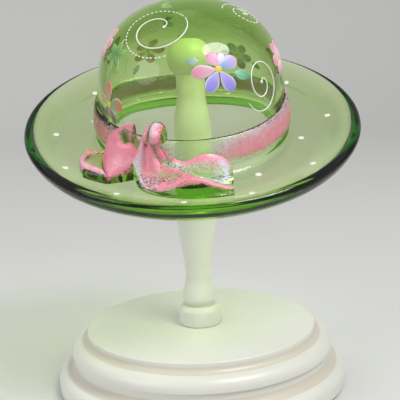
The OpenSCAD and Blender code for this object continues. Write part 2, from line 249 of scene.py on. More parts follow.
def slab(face: np.ndarray, seat: np.ndarray) -> tuple[np.ndarray, Faces]:
    """Closed solid between a shaped face and the seat below it.

    Args:
        face: Grid of points, rows by columns by 3.
        seat: Grid of the same shape.

    Returns:
        Points and faces; the face's points come first.
    """
    nu, nv = face.shape[0] - 1, face.shape[1] - 1
    below = (nu + 1) * (nv + 1)

    def at(i: int, j: int) -> int:
        """Number of a grid point."""
        return i * (nv + 1) + j

    faces: Faces = []
    for i in range(nu):
        for j in range(nv):
            quad = (at(i, j), at(i + 1, j), at(i + 1, j + 1), at(i, j + 1))
            faces += [quad, tuple(below + k for k in reversed(quad))]
    border = [at(i, 0) for i in range(nu)] + [at(nu, j) for j in range(nv)]
    border += [at(i, nv) for i in range(nu, 0, -1)] + [at(0, j) for j in range(nv, 0, -1)]
    for a, b in zip(border, border[1:] + border[:1]):
        faces.append((b, a, below + a, below + b))
    return np.concatenate([face.reshape(-1, 3), seat.reshape(-1, 3)]), faces


def grid_normals(grid: np.ndarray) -> np.ndarray:
    """Unit normals of a grid of points, on the side that the bow's pieces show.

    Args:
        grid: Points, rows by columns by 3.

    Returns:
        One normal for each point.
    """
    du, dv = np.gradient(grid, axis=0), np.gradient(grid, axis=1)
    n = np.cross(dv, du)
    return n / np.maximum(np.linalg.norm(n, axis=-1, keepdims=True), TINY)


class Tree:
    """Builds a node tree: adds nodes, sets their inputs and links them."""

    def __init__(self, tree: NodeTree) -> None:
        """Keeps the tree that the nodes go into."""
        self.tree = tree

    def plug(self, node: Node, inputs: Inputs) -> None:
        """Sets a node's inputs.

        Args:
            node: The node.
            inputs: Values, or output sockets to link, by the input's name or number.
        """
        for key, value in inputs.items():
            if isinstance(value, NodeSocket):
                self.tree.links.new(value, node.inputs[key])
            else:
                node.inputs[key].default_value = value

    def add(self, kind: str, inputs: Inputs | None = None, **settings: Any) -> Node:
        """Adds one node.

        Args:
            kind: Blender's name for the node.
            inputs: Values or output sockets by the input's name or number.
            **settings: The node's own properties.

        Returns:
            The node.
        """
        node = self.tree.nodes.new(kind)
        for key, value in settings.items():
            setattr(node, key, value)
        self.plug(node, inputs or {})
        return node

    def math(self, operation: str, *values: Any, clamp: bool = False) -> NodeSocket:
        """Adds a Math node and returns its result."""
        settings = {"operation": operation, "use_clamp": clamp}
        return self.add("ShaderNodeMath", dict(enumerate(values)), **settings).outputs[0]

    def scaled(self, value: NodeSocket, by: Any, plus: Any, clamp: bool = False) -> NodeSocket:
        """Adds nodes for a value times one thing plus another and returns the result."""
        return self.math("ADD", self.math("MULTIPLY", value, by), plus, clamp=clamp)

    def blend(self, share: NodeSocket, a: Any, b: Any) -> NodeSocket:
        """Adds a Mix node between two colours or colour sockets and returns its result."""
        # Inputs 6 and 7 and output 2 are the node's colour sockets.
        low, high = (c if isinstance(c, NodeSocket) else (*c, 1) for c in (a, b))
        return self.add("ShaderNodeMix", {0: share, 6: low, 7: high}, data_type="RGBA").outputs[2]

    def noise(self, where: NodeSocket, scale: Any, detail: int, rough: float = 0.55) -> NodeSocket:
        """Adds a Noise Texture and returns its value."""
        inputs = {"Vector": where, "Scale": scale, "Detail": detail, "Roughness": rough}
        return self.add("ShaderNodeTexNoise", inputs).outputs[0]

    def relief(self, height: NodeSocket, strength: float, depth: float) -> NodeSocket:
        """Adds a Bump node and returns its normal."""
        inputs = {"Height": height, "Strength": strength, "Distance": depth}
        return self.add("ShaderNodeBump", inputs).outputs[0]

    def place(self) -> NodeSocket:
        """Adds a node that reads the piece's own coordinates."""
        return self.add("ShaderNodeTexCoord").outputs["Object"]

    def read(self, name: str, output: str = "Fac") -> NodeSocket:
        """Adds a node that reads one of the piece's own attributes."""
        return self.add("ShaderNodeAttribute", attribute_name=name).outputs[output]

    def effect(self, tree: NodeTree, inputs: Inputs) -> Node:
        """Adds a shared effect with this material's own values."""
        return self.add("ShaderNodeGroup", inputs, node_tree=tree)


def group(name: str, inputs: dict[str, float],
          outputs: Sequence[str]) -> tuple[Tree, Sockets, Node]:
    """Starts a shader node group.

    Args:
        name: The group's name.
        inputs: Default value of each named number.
        outputs: Names of the values that it puts out.

    Returns:
        The builder, the input sockets by name, and the output node.
    """
    tree = bpy.data.node_groups.new(name, "ShaderNodeTree")
    number = "NodeSocketFloat"
    for key, value in inputs.items():
        tree.interface.new_socket(key, in_out="INPUT", socket_type=number).default_value = value
    for key in outputs:
        tree.interface.new_socket(key, in_out="OUTPUT", socket_type=number)
    build = Tree(tree)
    source = build.add("NodeGroupInput")
    return build, {key: source.outputs[key] for key in inputs}, build.add("NodeGroupOutput")


class Effects:
    """Shared shader effects, each built once."""

    SPECK_WEIGHT = 2.3
    PATCH_WEIGHT = 0.6
    PATCH_SCALE = 0.28
    BARE_LEVEL = 1.95
    STROKE_SQUASH = (1, 1, 3.5)
    PORE_SCALE = 6
    PORE_WEIGHT = 0.25
    GLOSS_SCALE = 60

    def __init__(self) -> None:
        """Builds the groups."""
        self.drift = self._drift()
        self.stipple = self._stipple()
        self.brushed = self._brushed()

    def _drift(self) -> NodeTree:
        """Slow unevenness over a surface, 0 to 1.

        Returns:
            The group.
        """
        build, value, out = group("drift", {"Scale": 30.0, "Contrast": 1.6}, ["Value"])
        noise = build.noise(build.place(), value["Scale"], detail=4)
        uneven = build.math("SUBTRACT", noise, 0.5)
        build.plug(out, {"Value": build.scaled(uneven, value["Contrast"], 0.5, clamp=True)})
        return build.tree

    def _stipple(self) -> NodeTree:
        """Sponged dabs of paint: where paint lies, for a given share of cover.

        Returns:
            The group.
        """
        inputs = {"Cover": 0.5, "Grain": 900.0, "Softness": 0.08}
        build, value, out = group("stipple", inputs, ["Mask"])
        where, grain = build.place(), value["Grain"]
        coarse = build.math("MULTIPLY", grain, self.PATCH_SCALE)
        specks = build.noise(where, grain, detail=2, rough=0.6)
        patches = build.noise(where, coarse, detail=2, rough=0.5)
        weighed = build.math("MULTIPLY", patches, self.PATCH_WEIGHT)
        both = build.scaled(specks, self.SPECK_WEIGHT, weighed)
        level = build.math("ADD", build.math("SUBTRACT", both, self.BARE_LEVEL), value["Cover"])
        soft = build.math("DIVIDE", level, value["Softness"])
        build.plug(out, {"Mask": build.math("ADD", soft, 0.5, clamp=True)})
        return build.tree

    def _brushed(self) -> NodeTree:
        """Brushed paint: fine height for a bump and a little unevenness of gloss.

        Returns:
            The group.
        """
        build, value, out = group("brushed", {"Grain": 220.0}, ["Height", "Gloss"])
        where, grain = build.place(), value["Grain"]
        squash = build.add("ShaderNodeMapping", {"Vector": where, "Scale": self.STROKE_SQUASH})
        strokes = build.noise(squash.outputs[0], grain, detail=4, rough=0.6)
        fine = build.math("MULTIPLY", grain, self.PORE_SCALE)
        pores = build.noise(where, fine, detail=2)
        gloss = build.noise(where, self.GLOSS_SCALE, detail=3)
        height = build.scaled(pores, self.PORE_WEIGHT, strokes)
        build.plug(out, {"Height": height, "Gloss": gloss})
        return build.tree


def shader(name: str) -> tuple[Material, Tree, Node, Node]:
    """Starts a material.

    Args:
        name: The material's name.

    Returns:
        The material, its builder, its Principled shader and its output node.
    """
    material = bpy.data.materials.new(name)
    material.use_nodes = True
    nodes = material.node_tree.nodes
    return material, Tree(material.node_tree), nodes["Principled BSDF"], nodes["Material Output"]


def pass_light(build: Tree, bsdf: Node, out: Node, tint: Colour) -> None:
    """Lets tinted light through a clear finish into its shadow.

    Args:
        build: The material's builder.
        bsdf: Its Principled shader.
        out: Its output node.
        tint: Share of light that each face lets through.
    """
    clear = build.add("ShaderNodeBsdfTransparent", {"Color": (*tint, 1)}).outputs[0]
    shadow = build.add("ShaderNodeLightPath").outputs["Is Shadow Ray"]
    both = build.add("ShaderNodeMixShader", {0: shadow, 1: bsdf.outputs[0], 2: clear})
    build.plug(out, {"Surface": both.outputs[0]})


@dataclass(frozen=True)
class PaintedWood:
    """Satin paint on turned wood, with painted shade: a darker, warmer tone in its hollows."""

    colour: Colour = srgb(233, 234, 228)
    drift_and_shade_colour: Colour = srgb(212, 206, 190)
    drift: float = 14
    drift_warmth: float = 0.35
    hollow_shade: float = 0.7
    grain: float = 220
    grain_strength: float = 0.1
    grain_depth: float = 0.0006
    roughness: float = 0.26
    gloss_spread: float = 0.16
    coat: float = 0.12
    coat_roughness: float = 0.22

    def make(self, effects: Effects) -> Material:
        """Builds the material.

        Args:
            effects: The shared effects.

        Returns:
            The material.
        """
        material, build, bsdf, _ = shader("satin_white_paint")
        brushed = build.effect(effects.brushed, {"Grain": self.grain}).outputs
        drift = build.effect(effects.drift, {"Scale": self.drift}).outputs["Value"]
        # Painted shade: the paint turns darker and warmer in the hollows, on top of its random
        # drift of tone.
        hollow = build.math("MULTIPLY", build.read("hollow"), self.hollow_shade)
        drift_and_shade = build.scaled(drift, self.drift_warmth, hollow, clamp=True)
        build.plug(bsdf, {
            "Base Color": build.blend(drift_and_shade, self.colour, self.drift_and_shade_colour),
            "Roughness": build.scaled(brushed["Gloss"], self.gloss_spread, self.roughness),
            "Normal": build.relief(brushed["Height"], self.grain_strength, self.grain_depth),
            "Coat Weight": self.coat,
            "Coat Roughness": self.coat_roughness,
        })
        return material


@dataclass(frozen=True)
class GreenGlass:
    """Pressed glass that takes its green from its depth."""

    name: str = "green_glass"
    colour: Colour = (0.73, 0.92, 0.3)
    density: float = 80
    shade: Colour = (0.74, 0.725, 0.8)
    skin: Colour = (0.95, 1.0, 0.93)
    pale_skin: Colour = (1.0, 1.0, 0.98)
    drift: float = 45
    roughness: float = 0.02
    gloss_spread: float = 0.03
    wave_scale: float = 38
    wave_strength: float = 0.05
    wave_depth: float = 0.002
    bend: float = 1.42

    def make(self, effects: Effects) -> Material:
        """Builds the material.

        Args:
            effects: The shared effects.

        Returns:
            The material.
        """
        material, build, bsdf, out = shader(self.name)
        drift = build.effect(effects.drift, {"Scale": self.drift}).outputs["Value"]
        waves = build.noise(build.place(), self.wave_scale, detail=2)
        build.plug(bsdf, {
            "Base Color": build.blend(drift, self.skin, self.pale_skin),
            "Roughness": build.scaled(drift, self.gloss_spread, self.roughness),
            "Normal": build.relief(waves, self.wave_strength, self.wave_depth),
            "Transmission Weight": 1.0,
            "IOR": self.bend,
        })
        pass_light(build, bsdf, out, self.shade)
        depth = {"Color": (*self.colour, 1), "Density": self.density}
        build.plug(out, {"Volume": build.add("ShaderNodeVolumeAbsorption", depth).outputs[0]})
        return material


@dataclass(frozen=True)
class StippledEnamel:
    """Pink enamel sponged on glass, with frosty white dabs."""

    pink: Colour = srgb(246, 122, 150)
    pale: Colour = srgb(248, 164, 184)
    frost: Colour = srgb(226, 220, 236)
    drift: float = 160
    grain: float = 1500
    frost_grain: float = 1950
    dab_strength: float = 0.35
    dab_depth: float = 0.0004
    roughness: float = 0.38
    coat: float = 0.3
    coat_roughness: float = 0.15

    def make(self, effects: Effects) -> Material:
        """Builds the material.

        Args:
            effects: The shared effects.

        Returns:
            The material.
        """
        material, build, bsdf, _ = shader("stippled_pink_enamel")
        drift = build.effect(effects.drift, {"Scale": self.drift}).outputs["Value"]
        layers = ({"Cover": build.read("frost"), "Grain": self.frost_grain},
                  {"Cover": build.read("cover"), "Grain": self.grain})
        white, dabs = (build.effect(effects.stipple, layer).outputs["Mask"] for layer in layers)
        pink = build.blend(drift, self.pink, self.pale)
        build.plug(bsdf, {
            "Base Color": build.blend(white, pink, self.frost),
            "Alpha": dabs,
            "Normal": build.relief(dabs, self.dab_strength, self.dab_depth),
            "Roughness": self.roughness,
            "Coat Weight": self.coat,
            "Coat Roughness": self.coat_roughness,
        })
        return material


@dataclass(frozen=True)
class BrushEnamel:
    """Opaque enamel brushed in two tones with a pale edge."""

    edge: Colour = srgb(250, 246, 250)
    roughness: float = 0.3
    hairs: float = 4.5
    hair_run: float = 1.4
    hair_contrast: float = 1.3
    drift: float = 420
    drift_height: float = 0.4
    hair_strength: float = 0.3
    hair_depth: float = 0.0003

    def make(self, effects: Effects) -> Material:
        """Builds the material.

        Args:
            effects: The shared effects.

        Returns:
            The material.
        """
        material, build, bsdf, _ = shader("brushed_enamel")
        drift = build.effect(effects.drift, {"Scale": self.drift}).outputs["Value"]
        along = build.read("along")
        beside = build.scaled(build.read("across"), self.hairs, build.read("lot"))
        ahead = build.math("MULTIPLY", along, self.hair_run)
        bristles = build.add("ShaderNodeCombineXYZ", {0: beside, 1: ahead}).outputs[0]
        hairs = build.noise(bristles, scale=1.0, detail=3, rough=0.6)
        uneven = build.math("SUBTRACT", hairs, 0.5)
        streak = build.scaled(uneven, self.hair_contrast, along, clamp=True)
        root, tip = build.read("root_tint", "Color"), build.read("tip_tint", "Color")
        rim = build.math("MULTIPLY", build.read("rim"), build.read("edging"))
        height = build.scaled(drift, self.drift_height, hairs)
        build.plug(bsdf, {
            "Base Color": build.blend(rim, build.blend(streak, root, tip), self.edge),
            "Normal": build.relief(height, self.hair_strength, self.hair_depth),
            "Roughness": self.roughness,
        })
        return material


@dataclass(frozen=True)
class PlainFinish:
    """A small part's finish: two tones, grain, gloss and, where it is clear, light through it."""

    name: str
    colour: Colour
    second: Colour
    roughness: float
    grain: float
    metallic: float = 0.0
    clear: float = 0.0
    bend: float = 1.5
    gloss_spread: float = 0.1
    grain_strength: float = 0.25
    grain_depth: float = 0.0004

    def make(self, effects: Effects) -> Material:
        """Builds the material.

        Args:
            effects: The shared effects.

        Returns:
            The material.
        """
        material, build, bsdf, out = shader(self.name)
        drift = build.effect(effects.drift, {"Scale": self.grain}).outputs["Value"]
        build.plug(bsdf, {
            "Base Color": build.blend(drift, self.colour, self.second),
            "Roughness": build.scaled(drift, self.gloss_spread, self.roughness),
            "Normal": build.relief(drift, self.grain_strength, self.grain_depth),
            "Metallic": self.metallic,
            "Transmission Weight": self.clear,
            "IOR": self.bend,
        })
        if self.clear:
            pass_light(build, bsdf, out, self.colour)
        return material


FELT = PlainFinish("felt", srgb(60, 72, 58), srgb(44, 54, 44), roughness=0.9, grain=900)
STEEL = PlainFinish("zinc_steel", srgb(190, 188, 176), srgb(160, 158, 150),
                    roughness=0.35, grain=300, metallic=1.0)
BEECH = PlainFinish("beech", srgb(206, 172, 122), srgb(182, 146, 98),
                    roughness=0.6, grain=120)
BUMPER = PlainFinish("clear_bumper", srgb(240, 244, 236), srgb(248, 250, 246),
                     roughness=0.08, grain=90, clear=1.0, bend=1.15)


class Finishes:
    """All the finishes of the hat and its stand."""

    def __init__(self) -> None:
        """Builds the shared effects and every material."""
        effects = Effects()
        self.wood = PaintedWood().make(effects)
        self.glass = GreenGlass().make(effects)
        # Painted shade: the bow is the same glass made denser, so it reads as dark as glass whose
        # paint keeps the light from above out.
        self.shaded_bow_glass = GreenGlass("shaded_bow_glass", density=170).make(effects)
        self.stipple = StippledEnamel().make(effects)
        self.enamel = BrushEnamel().make(effects)
        self.felt = FELT.make(effects)
        self.steel = STEEL.make(effects)
        self.beech = BEECH.make(effects)
        self.bumper = BUMPER.make(effects)


def dress(obj: Object, material: Material, body: Body, slot: Slot, *nodes: str) -> None:
    """Gives a piece its finish, ties it to its body and hides the solids that it stands for.

    Args:
        obj: The finished piece.
        material: Its material.
        body: The body that it moves with.
        slot: The record's slot for its finish; not used.
        *nodes: The solids that it stands for.
    """
    obj.data.materials.clear()
    obj.data.materials.append(material)
    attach(obj, body.value)
    if nodes:
        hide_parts(*nodes)
    LOG.info("%s on %s, %d faces", obj.name, body.value, len(obj.data.polygons))


@dataclass(frozen=True)
class Moulding:
    """Sizes of a moulded disc, from the flat of its edge over its round to its cove."""

    r: float
    h: float
    edge: float
    round_r: float
    cove_r: float


@dataclass
class Stand:
    """Turned stand: moulded base, post, ball knob and bumper, in millimetres."""

    finishes: Finishes

    # Felt and base
    felt_h: float = 2
    felt_inset: float = 7
    felt_round: float = 0.5
    lower: Moulding = Moulding(r=102, h=23, edge=7, round_r=6, cove_r=5.5)
    upper: Moulding = Moulding(r=92, h=17, edge=2.5, round_r=7.5, cove_r=4)
    arris_r: float = 0.8

    # Screw and dowel, with the holes that they sit in
    screw_hole_r: float = 2.7
    screw_bore_r: float = 6.5
    screw_bore_h: float = 4
    screw_head_r: float = 5
    screw_head_h: float = 4
    screw_thread_r: float = 1.8
    screw_in_post: float = 29
    dowel_r: float = 4
    dowel_in_post: float = 17
    dowel_in_knob: float = 14

    # Post, from its drum up to its collar
    post_h: float = 181
    drum_r: float = 15
    drum_h: float = 14
    groove_r: float = 10.5
    groove_h: float = 1
    bulb_r: float = 11.9
    bulb_z: float = 19
    neck_r: float = 9.2
    neck_z: float = 35
    swell_r: float = 14.2
    swell_z: float = 82
    shoulder_r: float = 12.7
    shoulder_drop: float = 40
    collar_r: float = 9.5
    collar_drop: float = 15

    # Knob and bumper
    knob_r: float = 14.5
    bumper_r: float = 7
    bumper_side: float = 1
    bumper_glue: float = 0.05

    # Hollows where the paint is darkened as painted shade, and the fineness of the meshes
    hollow_reach: float = 6
    hollow_step: float = 0.3
    hollow_blur: Steps = (0.25, 0.5, 0.25)
    segments: int = 192
    swell_steps: int = 24
    crisp: float = 35

    @property
    def upper_z(self) -> float:
        """Height of the seam between the two discs."""
        return self.felt_h + self.lower.h

    @property
    def base_top(self) -> float:
        """Height of the base's top."""
        return self.upper_z + self.upper.h

    @property
    def post_top(self) -> float:
        """Height of the post's top."""
        return self.base_top + self.post_h

    @property
    def knob_c(self) -> float:
        """Height of the knob's centre."""
        return self.post_top + math.sqrt(self.knob_r**2 - self.collar_r**2)

    @property
    def bumper_z(self) -> float:
        """Height of the flat under the bumper."""
        return self.knob_c + math.sqrt(self.knob_r**2 - self.bumper_r**2)

    @property
    def bumper_c(self) -> float:
        """Height of the centre of the bumper's dome."""
        return self.bumper_z + self.bumper_side

    def _turned(self, name: str, profile: Profile, ring: bool,
                material: Material, slot: Slot) -> None:
        """Turns one piece, dresses it and puts it in its solid's place.

        Args:
            name: The solid's name.
            profile: The piece's outline.
            ring: True for a closed outline clear of the axis.
            material: Its finish.
            slot: The record's slot for its finish.
        """
        piece = mesh_object("look_" + name, *lathe(profile, self.segments, ring), self.crisp)
        counts = [1 if r < TINY else self.segments for r, _ in profile]
        # Hollowness of each point, by which the wood paint is darkened as painted shade.
        set_values(piece.data, "hollow", np.repeat(self._hollows(profile), counts))
        dress(piece, material, Body.STAND, slot, name)

    def _hollows(self, profile: Profile) -> np.ndarray:
        """Share of hollowness at each point of an outline, from the turn of its line; the wood
        paint darkens with it as painted shade.

        Args:
            profile: Radii and heights in order, the solid to the left.

        Returns:
            One share for each point, 1 in a cove.
        """
        steps = np.diff(np.array(profile), axis=0)
        angle = np.unwrap(np.arctan2(steps[:, 1], steps[:, 0]))
        length = np.hypot(steps[:, 0], steps[:, 1])
        step = np.maximum((length[1:] + length[:-1]) / 2, self.hollow_step)
        curl = -np.diff(angle) * self.hollow_reach / step
        return np.clip(np.convolve(np.pad(curl, 1), self.hollow_blur, "same"), 0, 1)

    def _disc(self, low: float, disc: Moulding, hole: Profile) -> Profile:
        """Outline of a moulded disc with a hole.

        Args:
            low: Height of its underside.
            disc: Its sizes.
            hole: Outline of its hole from the top down.

        Returns:
            The closed outline.
        """
        a, round_c = self.arris_r, disc.r - disc.round_r
        cove_top = disc.edge + disc.round_r + disc.cove_r
        outline = arc(disc.r - a, a, a, -90, 0, n=5) + arc(round_c, disc.edge, disc.round_r, 0, 90)
        outline += arc(round_c, cove_top, disc.cove_r, 270, 180)[1:]
        outline += arc(round_c - disc.cove_r - a, disc.h - a, a, 0, 90, n=5)
        return [(x, z + low) for x, z in outline + hole]

    def _base(self) -> None:
        """Builds the felt and the two discs."""
        felt_r, rim = self.lower.r - self.felt_inset, self.felt_round
        felt = [(0, 0), *arc(felt_r - rim, rim, rim, -90, 0, n=4)]
        felt += [(felt_r, self.felt_h), (0, self.felt_h)]
        self._turned("base_felt", felt, False, self.finishes.felt, Slot.FELT)
        sink = [(self.screw_hole_r, self.lower.h),
                (self.screw_hole_r, self.screw_bore_h + self.screw_head_h),
                (self.screw_head_r, self.screw_bore_h),
                (self.screw_bore_r, self.screw_bore_h), (self.screw_bore_r, 0)]
        hole = [(self.screw_hole_r, self.upper.h), (self.screw_hole_r, 0)]
        lower = self._disc(self.felt_h, self.lower, sink)
        upper = self._disc(self.upper_z, self.upper, hole)
        for name, outline in (("base_lower", lower), ("base_upper", upper)):
            self._turned(name, outline, True, self.finishes.wood, Slot.PAINTED_WOOD)

    def _post(self) -> None:
        """Builds the post with its holes for the screw and the dowel."""
        foot, round_r = 2 * self.arris_r, self.drum_r - self.groove_r
        collar_z = self.post_h - self.collar_drop
        stops = [(self.drum_h + self.groove_h, self.groove_r), (self.bulb_z, self.bulb_r),
                 (self.neck_z, self.neck_r), (self.swell_z, self.swell_r),
                 (self.post_h - self.shoulder_drop, self.shoulder_r), (collar_z, self.collar_r)]
        outline: Profile = [(r, self.screw_in_post) for r in (0, self.screw_thread_r)]
        outline += [(self.screw_thread_r, 0), *arc(self.drum_r - foot, foot, foot, -90, 0, n=6)]
        outline += arc(self.groove_r, self.drum_h - round_r, round_r, 0, 90)
        for (z0, r0), (z1, r1) in zip(stops, stops[1:]):
            shares = np.linspace(0, 1, self.swell_steps, endpoint=False)
            outline += [(ease(r0, r1, t), mix(z0, z1, t)) for t in shares]
        outline += [(self.collar_r, collar_z), (self.collar_r, self.post_h)]
        outline += [(self.dowel_r, self.post_h)]
        outline += [(r, self.post_h - self.dowel_in_post) for r in (self.dowel_r, 0)]
        placed = [(r, z + self.base_top) for r, z in outline]
        self._turned("post", placed, False, self.finishes.wood, Slot.PAINTED_WOOD)

    def _knob(self) -> None:
        """Builds the knob with its dowel hole, and the bumper on its flat."""
        low = -math.degrees(math.asin((self.knob_c - self.post_top) / self.knob_r))
        high = math.degrees(math.asin((self.bumper_z - self.knob_c) / self.knob_r))
        ball: Profile = [(r, self.post_top + self.dowel_in_knob) for r in (0, self.dowel_r)]
        ball += [(self.dowel_r, self.post_top), *arc(0, self.knob_c, self.knob_r, low, high, n=48)]
        ball += [(0, self.bumper_z)]
        self._turned("knob", ball, False, self.finishes.wood, Slot.PAINTED_WOOD)
        seat = self.bumper_z + self.bumper_glue
        dome = arc(0, self.bumper_c, self.bumper_r, 0, 90, n=24)
        cap = [(0, seat), (self.bumper_r, seat), *dome[:-1], (0, dome[-1][1])]
        self._turned("knob_bumper", cap, False, self.finishes.bumper, Slot.CLEAR_RUBBER)

    def build(self) -> None:
        """Builds and dresses the whole stand; the hidden screw and dowel keep their solids."""
        self._base()
        self._post()
        self._knob()
        hidden = {"post_screw": self.finishes.steel, "knob_dowel": self.finishes.beech}
        for node, material in hidden.items():
            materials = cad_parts[node].data.materials
            materials.clear()
            materials.append(material)


@dataclass
class HatForm:
    """Sizes of the hat in its own frame, the brim's flat at height 0, in millimetres."""

    # The bumper that it rests on, and how it rests
    bumper_c: float
    bumper_r: float
    tilt: float = 20.5
    rest_offset: float = 18
    rest_gap: float = 0.3

    # Brim, crown and band
    brim_r: float = 115
    brim_t: float = 8
    rim_rise: float = 9
    lip_r: float = 3.5
    dish_r: float = 88
    under_curve_r: float = 17
    crown_r: float = 63
    crown_foot_r: float = 65.5
    crown_h: float = 88
    dome_power: float = 2.5
    crown_t: float = 6
    crown_top_t: float = 14
    foot_fillet: float = 5
    mouth_r: float = 6
    band_z: float = 6.5
    band_w: float = 19
    band_t: float = 2.6
    band_edge: float = 0.35
    fuse_gap: float = 0.25

    # Fineness of the glass's outline
    curve_steps: int = 20
    flat_points: int = 8
    under_points: int = 10

    # Sizes that follow from the others
    band_top: float = field(init=False)
    dome_h: float = field(init=False)
    cavity_r: float = field(init=False)
    cavity_h: float = field(init=False)
    lip_z: float = field(init=False)
    lip_c: float = field(init=False)
    lip_fall: float = field(init=False)
    dish_curve_r: float = field(init=False)
    under_r: float = field(init=False)
    seat_r: float = field(init=False)
    pose: Matrix = field(init=False)

    def __post_init__(self) -> None:
        """Works out the sizes that follow from the others, and the hat's place on the bumper."""
        self.band_top = self.band_z + self.band_w
        self.dome_h = self.crown_h - self.band_top
        self.cavity_r = self.crown_r - self.crown_t
        self.cavity_h = self.dome_h - self.crown_top_t
        self.lip_z = self.rim_rise - self.lip_r
        self.lip_c = self.brim_r - self.lip_r
        self.lip_fall = self.lip_z + self.brim_t - self.under_curve_r
        reach = (self.lip_c - self.dish_r) ** 2 + self.lip_z**2 - self.lip_r**2
        self.dish_curve_r = reach / (2 * self.rim_rise)
        inset = (self.under_curve_r - self.lip_r) ** 2 - self.lip_fall**2
        self.under_r = self.lip_c - math.sqrt(inset)
        self.seat_r = self.wall_r(self.band_z) + self.band_t + self.fuse_gap
        self.pose = self._rest()

    def _rest(self) -> Matrix:
        """Finds where the tipped crown rests on the bumper.

        Returns:
            The move from the hat's own frame to its place on the stand, in metres.
        """
        n, share = self.dome_power, self.rest_offset / self.cavity_r
        rise = self.cavity_h * (1 - share**n) ** (1 / n)
        steep = (share / (rise / self.cavity_h)) ** (n - 1)
        slope = math.atan(self.cavity_h / self.cavity_r * steep)
        y = self.rest_offset - (self.bumper_r + self.rest_gap) * math.sin(slope)
        z = self.band_top + rise - (self.bumper_r + self.rest_gap) * math.cos(slope)
        t = math.radians(self.tilt)
        back = z * math.sin(t) - y * math.cos(t)
        up = self.bumper_c - y * math.sin(t) - z * math.cos(t)
        return Matrix.Translation(Vector((0, back, up)) * MM) @ Matrix.Rotation(t, 4, "X")

    def wall_r(self, z: Value) -> Value:
        """Radius of the crown's outer wall below the dome."""
        share = (z - self.foot_fillet) / (self.band_top - self.foot_fillet)
        return mix(self.crown_foot_r, self.crown_r, share)

    def brim_z(self, r: np.ndarray) -> np.ndarray:
        """Height of the brim's upper face, with its fillet and its dish.

        Args:
            r: Distances from the crown's axis.

        Returns:
            One height for each distance.
        """
        foot = np.clip(self.crown_foot_r + self.foot_fillet - r, 0, self.foot_fillet)
        dish = np.maximum(r - self.dish_r, 0)
        fillet = self.foot_fillet - np.sqrt(self.foot_fillet**2 - foot**2)
        return fillet + self.dish_curve_r - np.sqrt(self.dish_curve_r**2 - dish**2)

    def brim_seat(self, r: np.ndarray) -> np.ndarray:
        """Height of the seat of an applied piece on the brim."""
        return self.brim_z(r) + self.fuse_gap

    def dome_r(self, z: np.ndarray) -> np.ndarray:
        """Radius of the crown's outside at a height above the band."""
        n = self.dome_power
        return self.crown_r * (1 - ((z - self.band_top) / self.dome_h) ** n) ** (1 / n)

    def dome(self, r: float, h: float, steps: int = 64) -> Profile:
        """Outline of a dome that stands on the band's top edge.

        Args:
            r: Radius of its widest circle.
            h: Its height.
            steps: Number of steps.

        Returns:
            Points from its top to its widest circle.
        """
        k = np.radians(np.linspace(90, 0, steps + 1))
        power = 2 / self.dome_power
        cos, sin = np.maximum(np.cos(k), 0) ** power, np.maximum(np.sin(k), 0) ** power
        cos[0], sin[-1] = 0, 0
        return [(float(r * c), float(self.band_top + h * s)) for c, s in zip(cos, sin)]

    def outline(self) -> Profile:
        """Outline of the glass.

        Returns:
            Points from the crown's top round the brim and up the crown's inside.
        """
        dish, under, n = self.dish_curve_r, self.under_curve_r, self.curve_steps
        lip_top = math.degrees(math.atan2(dish - self.lip_z, self.dish_r - self.lip_c))
        lip_low = math.degrees(math.atan2(self.lip_fall, self.lip_c - self.under_r))
        mouth = self.crown_foot_r - self.crown_t + self.mouth_r
        foot = self.crown_foot_r + self.foot_fillet
        flat_r = np.linspace(foot, self.dish_r, self.flat_points)[1:-1]
        below_r = np.linspace(self.under_r, mouth, self.under_points)[1:-1]
        points = self.dome(self.crown_r, self.dome_h)
        points += arc(foot, self.foot_fillet, self.foot_fillet, 180, 270)
        points += [(float(r), 0.0) for r in flat_r]
        points += arc(self.dish_r, dish, dish, 270, lip_top + 180, n)
        points += arc(self.lip_c, self.lip_z, self.lip_r, lip_top, lip_low, n)[1:]
        points += arc(self.under_r, under - self.brim_t, under, lip_low, -90, n)[1:]
        points += [(float(r), -self.brim_t) for r in below_r]
        points += arc(mouth, self.mouth_r - self.brim_t, self.mouth_r, -90, -180)
        return points + self.dome(self.cavity_r, self.cavity_h)[::-1]

    def settle(self, points: np.ndarray, rounds: int = 8) -> Settled:
        """Nearest places on the crown's outside.

        Args:
            points: Points near the crown, in the hat's frame.
            rounds: Number of steps towards it.

        Returns:
            Points on the glass and unit normals there.
        """
        p, n = np.array(points, float), self.dome_power
        slope = (self.crown_foot_r - self.crown_r) / (self.band_top - self.foot_fillet)
        for _ in range(rounds):
            r = np.maximum(np.hypot(p[:, 0], p[:, 1]), TINY)
            a, b = r / self.crown_r, np.maximum(p[:, 2] - self.band_top, 0) / self.dome_h
            size = np.maximum((a**n + b**n) ** (1 / n), TINY)
            low = p[:, 2] < self.band_top
            wall = self.wall_r(np.minimum(p[:, 2], self.band_top))
            off = np.where(low, (r - wall) / self.crown_r, size - 1)
            out = np.where(low, 1.0, (a / size) ** (n - 1)) / self.crown_r
            up = np.where(low, slope / self.crown_r, (b / size) ** (n - 1) / self.dome_h)
            grad = np.stack([out * p[:, 0] / r, out * p[:, 1] / r, up], -1)
            square = np.sum(grad**2, -1, keepdims=True)
            p = p - off[:, None] * grad / square
        return p, grad / np.sqrt(square)

    def settle_brim(self, points: np.ndarray, step: float = 0.01) -> Settled:
        """Places on the brim's upper face above or below the given points.

        Args:
            points: Points over the brim, in the hat's frame.
            step: Distance to each side over which the slope is taken.

        Returns:
            Points on the glass and unit normals there.
        """
        p = np.array(points, float)
        r = np.hypot(p[:, 0], p[:, 1])
        slope = (self.brim_z(r + step) - self.brim_z(r - step)) / (2 * step)
        p[:, 2] = self.brim_z(r)
        normal = np.stack([-slope * p[:, 0] / r, -slope * p[:, 1] / r, np.ones_like(r)], -1)
        return p, normal / np.linalg.norm(normal, axis=-1, keepdims=True)


